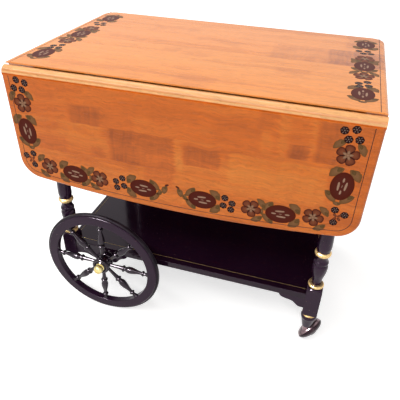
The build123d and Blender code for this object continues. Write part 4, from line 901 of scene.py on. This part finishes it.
class TROLLEY_OT_frame(bpy.types.Operator):
    """Finish the legs, aprons, shelf and brackets in black lacquer with gilt rings"""
    bl_idname = "trolley.frame"
    bl_label = "Finish frame"

    def execute(self, context):
        legs = black_lacquer("black lacquer legs", GILT_RINGS)
        plain = black_lacquer("black lacquer boards")
        # painted shade: the shelf's blacks are darker than the frame's, for the shade and dark
        # reflections under the top
        shelf = black_lacquer(
            "black lacquer shelf", gloss=0.05, shine=0.32, black="#180816", lifted="#200C1E")
        blocks = bare_wood("planed beech blocks", "#D8B98A", "#B98F5C", (0.15, 1, 1))
        dowels = bare_wood("beech dowels", "#DCC096", "#BD9664", (1, 0.15, 1))
        for side in SIDES:
            finish(legs, f"leg_wheel_end_{side}", f"leg_caster_end_{side}")
            finish(plain, f"apron_{side}", f"bracket_caster_end_{side}", f"axle_board_{side}")
        finish(plain, "apron_wheel_end", "apron_caster_end")
        finish(shelf, "shelf")
        finish(blocks, "corner_blocks")
        finish(dowels, "apron_dowels", "shelf_dowels")
        return {"FINISHED"}


class TROLLEY_OT_wheels(bpy.types.Operator):
    """Finish the two spoked wheels and their axle"""
    bl_idname = "trolley.wheels"
    bl_label = "Finish wheels"

    def execute(self, context):
        rim = black_lacquer("black lacquer wheels", gloss=0.12, shine=0.2)
        # painted shade: the spokes and hubs get a darker black than the rims, where the same lacquer
        # looks darker
        turnings = black_lacquer(
            "black lacquer turnings", gloss=0.1, shine=0.5, black="#100810", lifted="#190D1A")
        rubber = hard_rubber("solid rubber tyre", "#171118", "#2A2229", 0.4)
        cap = metal("gilt brass caps", "#EEDD9C", "#C8AC5C", 0.34)
        bush = metal("turned brass bushes", "#C9A864", "#8F733E", 0.3)
        steel = metal("bright drawn steel", "#B9B6B0", "#7F7B76", 0.28)
        for side in SIDES:
            finish(rim, f"wheel_{side}_rim")
            finish(turnings, f"wheel_{side}_spokes", f"wheel_{side}_hub")
            finish(rubber, f"wheel_{side}_tyre")
            finish(cap, f"wheel_{side}_hub_cap")
            finish(bush, f"wheel_{side}_bush")
        finish(steel, "axle", "axle_washers", "axle_retainers")
        return {"FINISHED"}


class TROLLEY_OT_casters(bpy.types.Operator):
    """Finish the two tilted casters"""
    bl_idname = "trolley.casters"
    bl_label = "Finish casters"

    def execute(self, context):
        hood = metal("bronzed steel hood", "#8A7478", "#45383C", 0.24)
        tread = hard_rubber("hard caster tread", "#2E1F24", "#5A474C", 0.26)
        pin = metal("caster pin steel", "#AFABA6", "#77726C", 0.32)
        socket = metal("plated socket", "#A39C90", "#6E675E", 0.35)
        for side in SIDES:
            finish(hood, f"caster_{side}_hood")
            finish(tread, f"caster_{side}_wheel")
            finish(pin, f"caster_{side}_pin")
            finish(socket, f"caster_{side}_socket")
        return {"FINISHED"}


class TROLLEY_OT_fittings(bpy.types.Operator):
    """Finish the hinges, stays and screws"""
    bl_idname = "trolley.fittings"
    bl_label = "Finish fittings"

    def execute(self, context):
        hinge = metal("dulled hinge steel", "#9B958B", "#6B6459", 0.36)
        stay = metal("stay steel", "#A19C95", "#6E6861", 0.34)
        screw = metal("zinc plated screws", "#B8B5AE", "#8A857A", 0.32)
        finish(hinge, "hinge_top_plates", "hinge_leaf_plates", "hinge_pins")
        finish(stay, "stay_arm_wheel_end", "stay_arm_caster_end", "stay_brackets", "stay_pivots",
               "stay_catches")
        finish(screw, "hinge_top_screws", "leaf_screws", "top_screws", "stay_screws", "shelf_screws")
        return {"FINISHED"}


class TROLLEY_OT_borders(bpy.types.Operator):
    """Lay the stencilled borders on the leaf and on both ends of the top"""
    bl_idname = "trolley.borders"
    bl_label = "Stencil borders"

    def execute(self, context):
        stencil = context.scene.trolley_stencil
        ink = stencil_ink("bronzed stencil ink")
        group = motif_collection(stencil.film)
        tree, keys = border_tree()
        values = {"Motifs": group, "Size": stencil.size, "Material": ink}

        places = []
        for x, height, kind, turn in LEAF_BORDER:
            way = math.radians(turn)
            places.append((x * MM, height * MM, kind, way, 1.0))
            places.append((2 * BORDER_MIDDLE - x * MM, height * MM, kind, math.pi - way, -1.0))
        face_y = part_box("drop_leaf")[0].y
        leaf = grow("leaf_stencil_border", border_points("leaf border", places), tree, keys,
                    {**values, "Place": (0.0, face_y, 0.0), "Turn": LEAF_TURN})
        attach(leaf, "leaf")

        places = [(side * TOP_BORDER_X, across * MM, kind, math.radians(turn), 1.0)
                  for side in (-1, 1) for across, kind, turn in TOP_BORDER]
        top = grow("top_stencil_borders", border_points("top borders", places), tree, keys,
                   {**values, "Place": (0.0, 0.0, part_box("table_top")[1].z), "Turn": FLAT})
        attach(top, "frame")
        drop_collection(group)
        return {"FINISHED"}


class TROLLEY_OT_lining(bpy.types.Operator):
    """Draw the painted lines on the leaf, the top and the shelf"""
    bl_idname = "trolley.lining"
    bl_label = "Draw lining"

    def execute(self, context):
        lining = context.scene.trolley_lining
        dark = line_paint("umber striping paint", "#2E140C", "#5E2E18", 0.0)
        gold = line_paint("gilt striping paint", "#A08A55", "#6E5C38", 0.5)
        tree, keys = lining_tree()
        values = {"Width": lining.width, "Film": LINE_FILM}

        half = leaf_path(lining.inset)
        whole = half + [(-u, v) for u, v in reversed(half[:-1])]
        face_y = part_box("drop_leaf")[0].y
        leaf = grow("leaf_line", line_points("leaf line", [whole]), tree, keys,
                    {**values, "Material": dark, "Place": (0.0, face_y, 0.0), "Turn": LEAF_TURN})
        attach(leaf, "leaf")

        low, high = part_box("table_top")
        x, near, back = high.x - lining.top_inset, low.y + TOP_LINE_NEAR, high.y - TOP_LINE_BACK
        paths = [[(side * x, near), (side * x, back)] for side in (-1, 1)]
        top = grow("top_lines", line_points("top lines", paths), tree, keys,
                   {**values, "Material": dark, "Place": (0.0, 0.0, high.z), "Turn": FLAT})
        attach(top, "frame")

        low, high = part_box("shelf")
        wheel_leg, caster_leg = (
            (a + b) / 2 for a, b in (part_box("leg_wheel_end_near"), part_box("leg_caster_end_near")))
        from_x, to_x = wheel_leg.x + HALF_BLOCK, caster_leg.x - HALF_BLOCK
        side_y, end_y = high.y - lining.shelf_side, -caster_leg.y - HALF_BLOCK
        paths = [[(from_x, side * side_y), (to_x, side * side_y)] for side in (-1, 1)]
        paths += [[(x, -end_y), (x, end_y)]
                  for x in (low.x + lining.shelf_end, high.x - lining.shelf_end)]
        shelf = grow("shelf_lines", line_points("shelf lines", paths), tree, keys,
                     {**values, "Width": lining.shelf_width, "Material": gold,
                      "Place": (0.0, 0.0, high.z), "Turn": FLAT})
        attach(shelf, "frame")
        return {"FINISHED"}


# ---------------------------------------------------------------- stage, in metres
# the turned and round black pieces, which alone reflect the glint card
GLINTING = ("wheel_near_tyre", *(name.format(side) for side in SIDES for name in (
    "wheel_{}_spokes", "wheel_{}_hub", "wheel_{}_rim", "leg_wheel_end_{}", "leg_caster_end_{}",
    "caster_{}_hood", "caster_{}_wheel")))
SQUARE = ((-1, -1), (1, -1), (1, 1), (-1, 1))
FLOOR_HALF = 14.0                       # half the side of the floor
GLOW_NEAR, GLOW_FAR = 0.6, 3.0          # the floor's own light rises between these distances
GLOW_WEAK, GLOW_FULL = 0.62, 1.0        # from this strength to this one
LAMP_AIM = Vector((0.0, 0.0, 0.45))     # the middle of the trolley
EYE = Vector((0.3198, -1.1528, 1.0895))
FORWARD, RIGHTWARD = Vector((-0.2333, 0.7860, -0.5726)), Vector((0.9542, 0.2985, 0.0210))


def plate(name, points, material):
    """A flat four-sided piece of the stage."""
    mesh = bpy.data.meshes.new(name)
    mesh.from_pydata(points, [], [(0, 1, 2, 3)])
    mesh.materials.append(material)
    made = bpy.data.objects.new(name, mesh)
    bpy.context.scene.collection.objects.link(made)
    return made


def softbox(name, power, place, size):
    """A rectangular lamp that points at the middle of the trolley."""
    lamp = bpy.data.lights.new(name, "AREA")
    lamp.shape = "RECTANGLE"
    lamp.energy = power
    lamp.size, lamp.size_y = size
    holder = bpy.data.objects.new(name, lamp)
    holder.location = place
    holder.rotation_euler = (LAMP_AIM - Vector(place)).to_track_quat("-Z", "Y").to_euler()
    bpy.context.scene.collection.objects.link(holder)
    return holder


def studio_air(ambient):
    """A white world whose light on the trolley is weaker than what the camera and reflections see."""
    world = bpy.data.worlds.new("pale studio")
    tree = emptied(world)
    rays = add(tree, "ShaderNodeLightPath")
    seen = add(
        tree, "ShaderNodeMath",
        {0: rays.outputs["Is Camera Ray"], 1: rays.outputs["Is Glossy Ray"]}, operation="MAXIMUM")
    seen = add(
        tree, "ShaderNodeMath", {0: seen, 1: rays.outputs["Is Transmission Ray"]}, operation="MAXIMUM")
    level = add(tree, "ShaderNodeMapRange", {0: seen, 1: 0.0, 2: 1.0, 3: ambient, 4: 1.0})
    sky = add(tree, "ShaderNodeBackground", {"Color": grey(1.0), "Strength": level})
    add(tree, "ShaderNodeOutputWorld", {"Surface": sky})
    return world


def pale_floor():
    """A matt pale floor that glows away into white with distance."""
    material, tree, place = blank("pale floor")
    rays = add(tree, "ShaderNodeLightPath")
    seen = add(
        tree, "ShaderNodeMath",
        {0: rays.outputs["Is Camera Ray"], 1: rays.outputs["Is Glossy Ray"]}, operation="MAXIMUM")
    lit = add(tree, "ShaderNodeBsdfDiffuse", {"Color": colour("#E9E8E6")})
    away = add(tree, "ShaderNodeVectorMath", {0: place}, operation="LENGTH")
    rise = add(
        tree, "ShaderNodeMapRange",
        {0: away.outputs["Value"], 1: GLOW_NEAR, 2: GLOW_FAR, 3: GLOW_WEAK, 4: GLOW_FULL})
    glow = add(tree, "ShaderNodeEmission", {"Color": grey(1.0), "Strength": rise})
    none = add(tree, "ShaderNodeEmission", {"Strength": 0.0})
    lift = add(tree, "ShaderNodeMixShader", {0: seen, 1: none, 2: glow})
    both = add(tree, "ShaderNodeAddShader", {0: lit, 1: lift})
    add(tree, "ShaderNodeOutputMaterial", {"Surface": both})
    return material


def black_card():
    """A dull black material."""
    material = bpy.data.materials.new("black card")
    tree = emptied(material)
    dull = add(tree, "ShaderNodeBsdfDiffuse", {"Color": colour("#000000")})
    add(tree, "ShaderNodeOutputMaterial", {"Surface": dull})
    return material


class TROLLEY_OT_stage(bpy.types.Operator):
    """Set up the floor, the lamps and the camera"""
    bl_idname = "trolley.stage"
    bl_label = "Set up stage"

    def execute(self, context):
        scene = context.scene
        stage = scene.trolley_stage
        scene.view_settings.view_transform = "Standard"
        scene.world = studio_air(stage.ambient)

        floor = plate("floor", [(x * FLOOR_HALF, y * FLOOR_HALF, 0) for x, y in SQUARE], pale_floor())

        # a black card behind the shelf: only reflections see it, and they turn the shelf deep black
        left, right, back, low, high = -0.425, 0.46, 0.262, 0.205, 0.70
        flag = plate(
            "flag", [(left, back, low), (right, back, low), (right, back, high), (left, back, high)],
            black_card())
        flag.visible_camera = flag.visible_diffuse = flag.visible_shadow = False
        flag.visible_transmission = False

        softbox("front softbox", stage.key, (-0.8, -1.85, 2.7), (3.0, 0.26))
        softbox("window softbox", stage.window, (0.9, -2.25, 1.85), (0.9, 0.45))
        softbox("overhead softbox", stage.overhead, (-0.7, 0.6, 2.9), (1.4, 1.4))
        glint = softbox("glint card", stage.glint, (-0.9, -1.6, 1.7), (0.7, 0.7))
        glint.visible_diffuse = False
        turnings = bpy.data.collections.new("turnings")
        for node in GLINTING:
            turnings.objects.link(frame["nodes"][node])
        glint.light_linking.receiver_collection = turnings

        optics = bpy.data.cameras.new("camera")
        optics.lens = stage.lens
        optics.sensor_width = 36.0
        optics.sensor_fit = "HORIZONTAL"
        camera = bpy.data.objects.new("camera", optics)
        forward = FORWARD.normalized()
        right = (RIGHTWARD - forward * RIGHTWARD.dot(forward)).normalized()
        turn = Matrix((right, right.cross(forward), -forward)).transposed()
        camera.matrix_world = Matrix.Translation(EYE) @ turn.to_4x4()
        scene.collection.objects.link(camera)
        scene.camera = camera
        return {"FINISHED"}


OPERATORS = (
    TROLLEY_OT_boards, TROLLEY_OT_frame, TROLLEY_OT_wheels, TROLLEY_OT_casters, TROLLEY_OT_fittings,
    TROLLEY_OT_borders, TROLLEY_OT_lining, TROLLEY_OT_stage,
)


class TROLLEY_PT_finish(bpy.types.Panel):
    """Sizes, colours and steps of the trolley's finish"""
    bl_idname = "TROLLEY_PT_finish"
    bl_label = "Tea trolley"
    bl_space_type = "VIEW_3D"
    bl_region_type = "UI"
    bl_category = "Trolley"

    def draw(self, context):
        for key, group in GROUPS.items():
            box = self.layout.box()
            for prop in group.__annotations__:
                box.prop(getattr(context.scene, key), prop)
        for operator in OPERATORS:
            self.layout.operator(operator.bl_idname)


def register():
    for kind in (*GROUPS.values(), *OPERATORS, TROLLEY_PT_finish):
        bpy.utils.register_class(kind)
    for key, group in GROUPS.items():
        setattr(bpy.types.Scene, key, PointerProperty(type=group))


def unregister():
    for key in GROUPS:
        delattr(bpy.types.Scene, key)
    for kind in reversed((*GROUPS.values(), *OPERATORS, TROLLEY_PT_finish)):
        bpy.utils.unregister_class(kind)


def main():
    register()
    for operator in OPERATORS:
        group, name = operator.bl_idname.split(".")
        getattr(getattr(bpy.ops, group), name)()


if __name__ == "__main__":
    main()
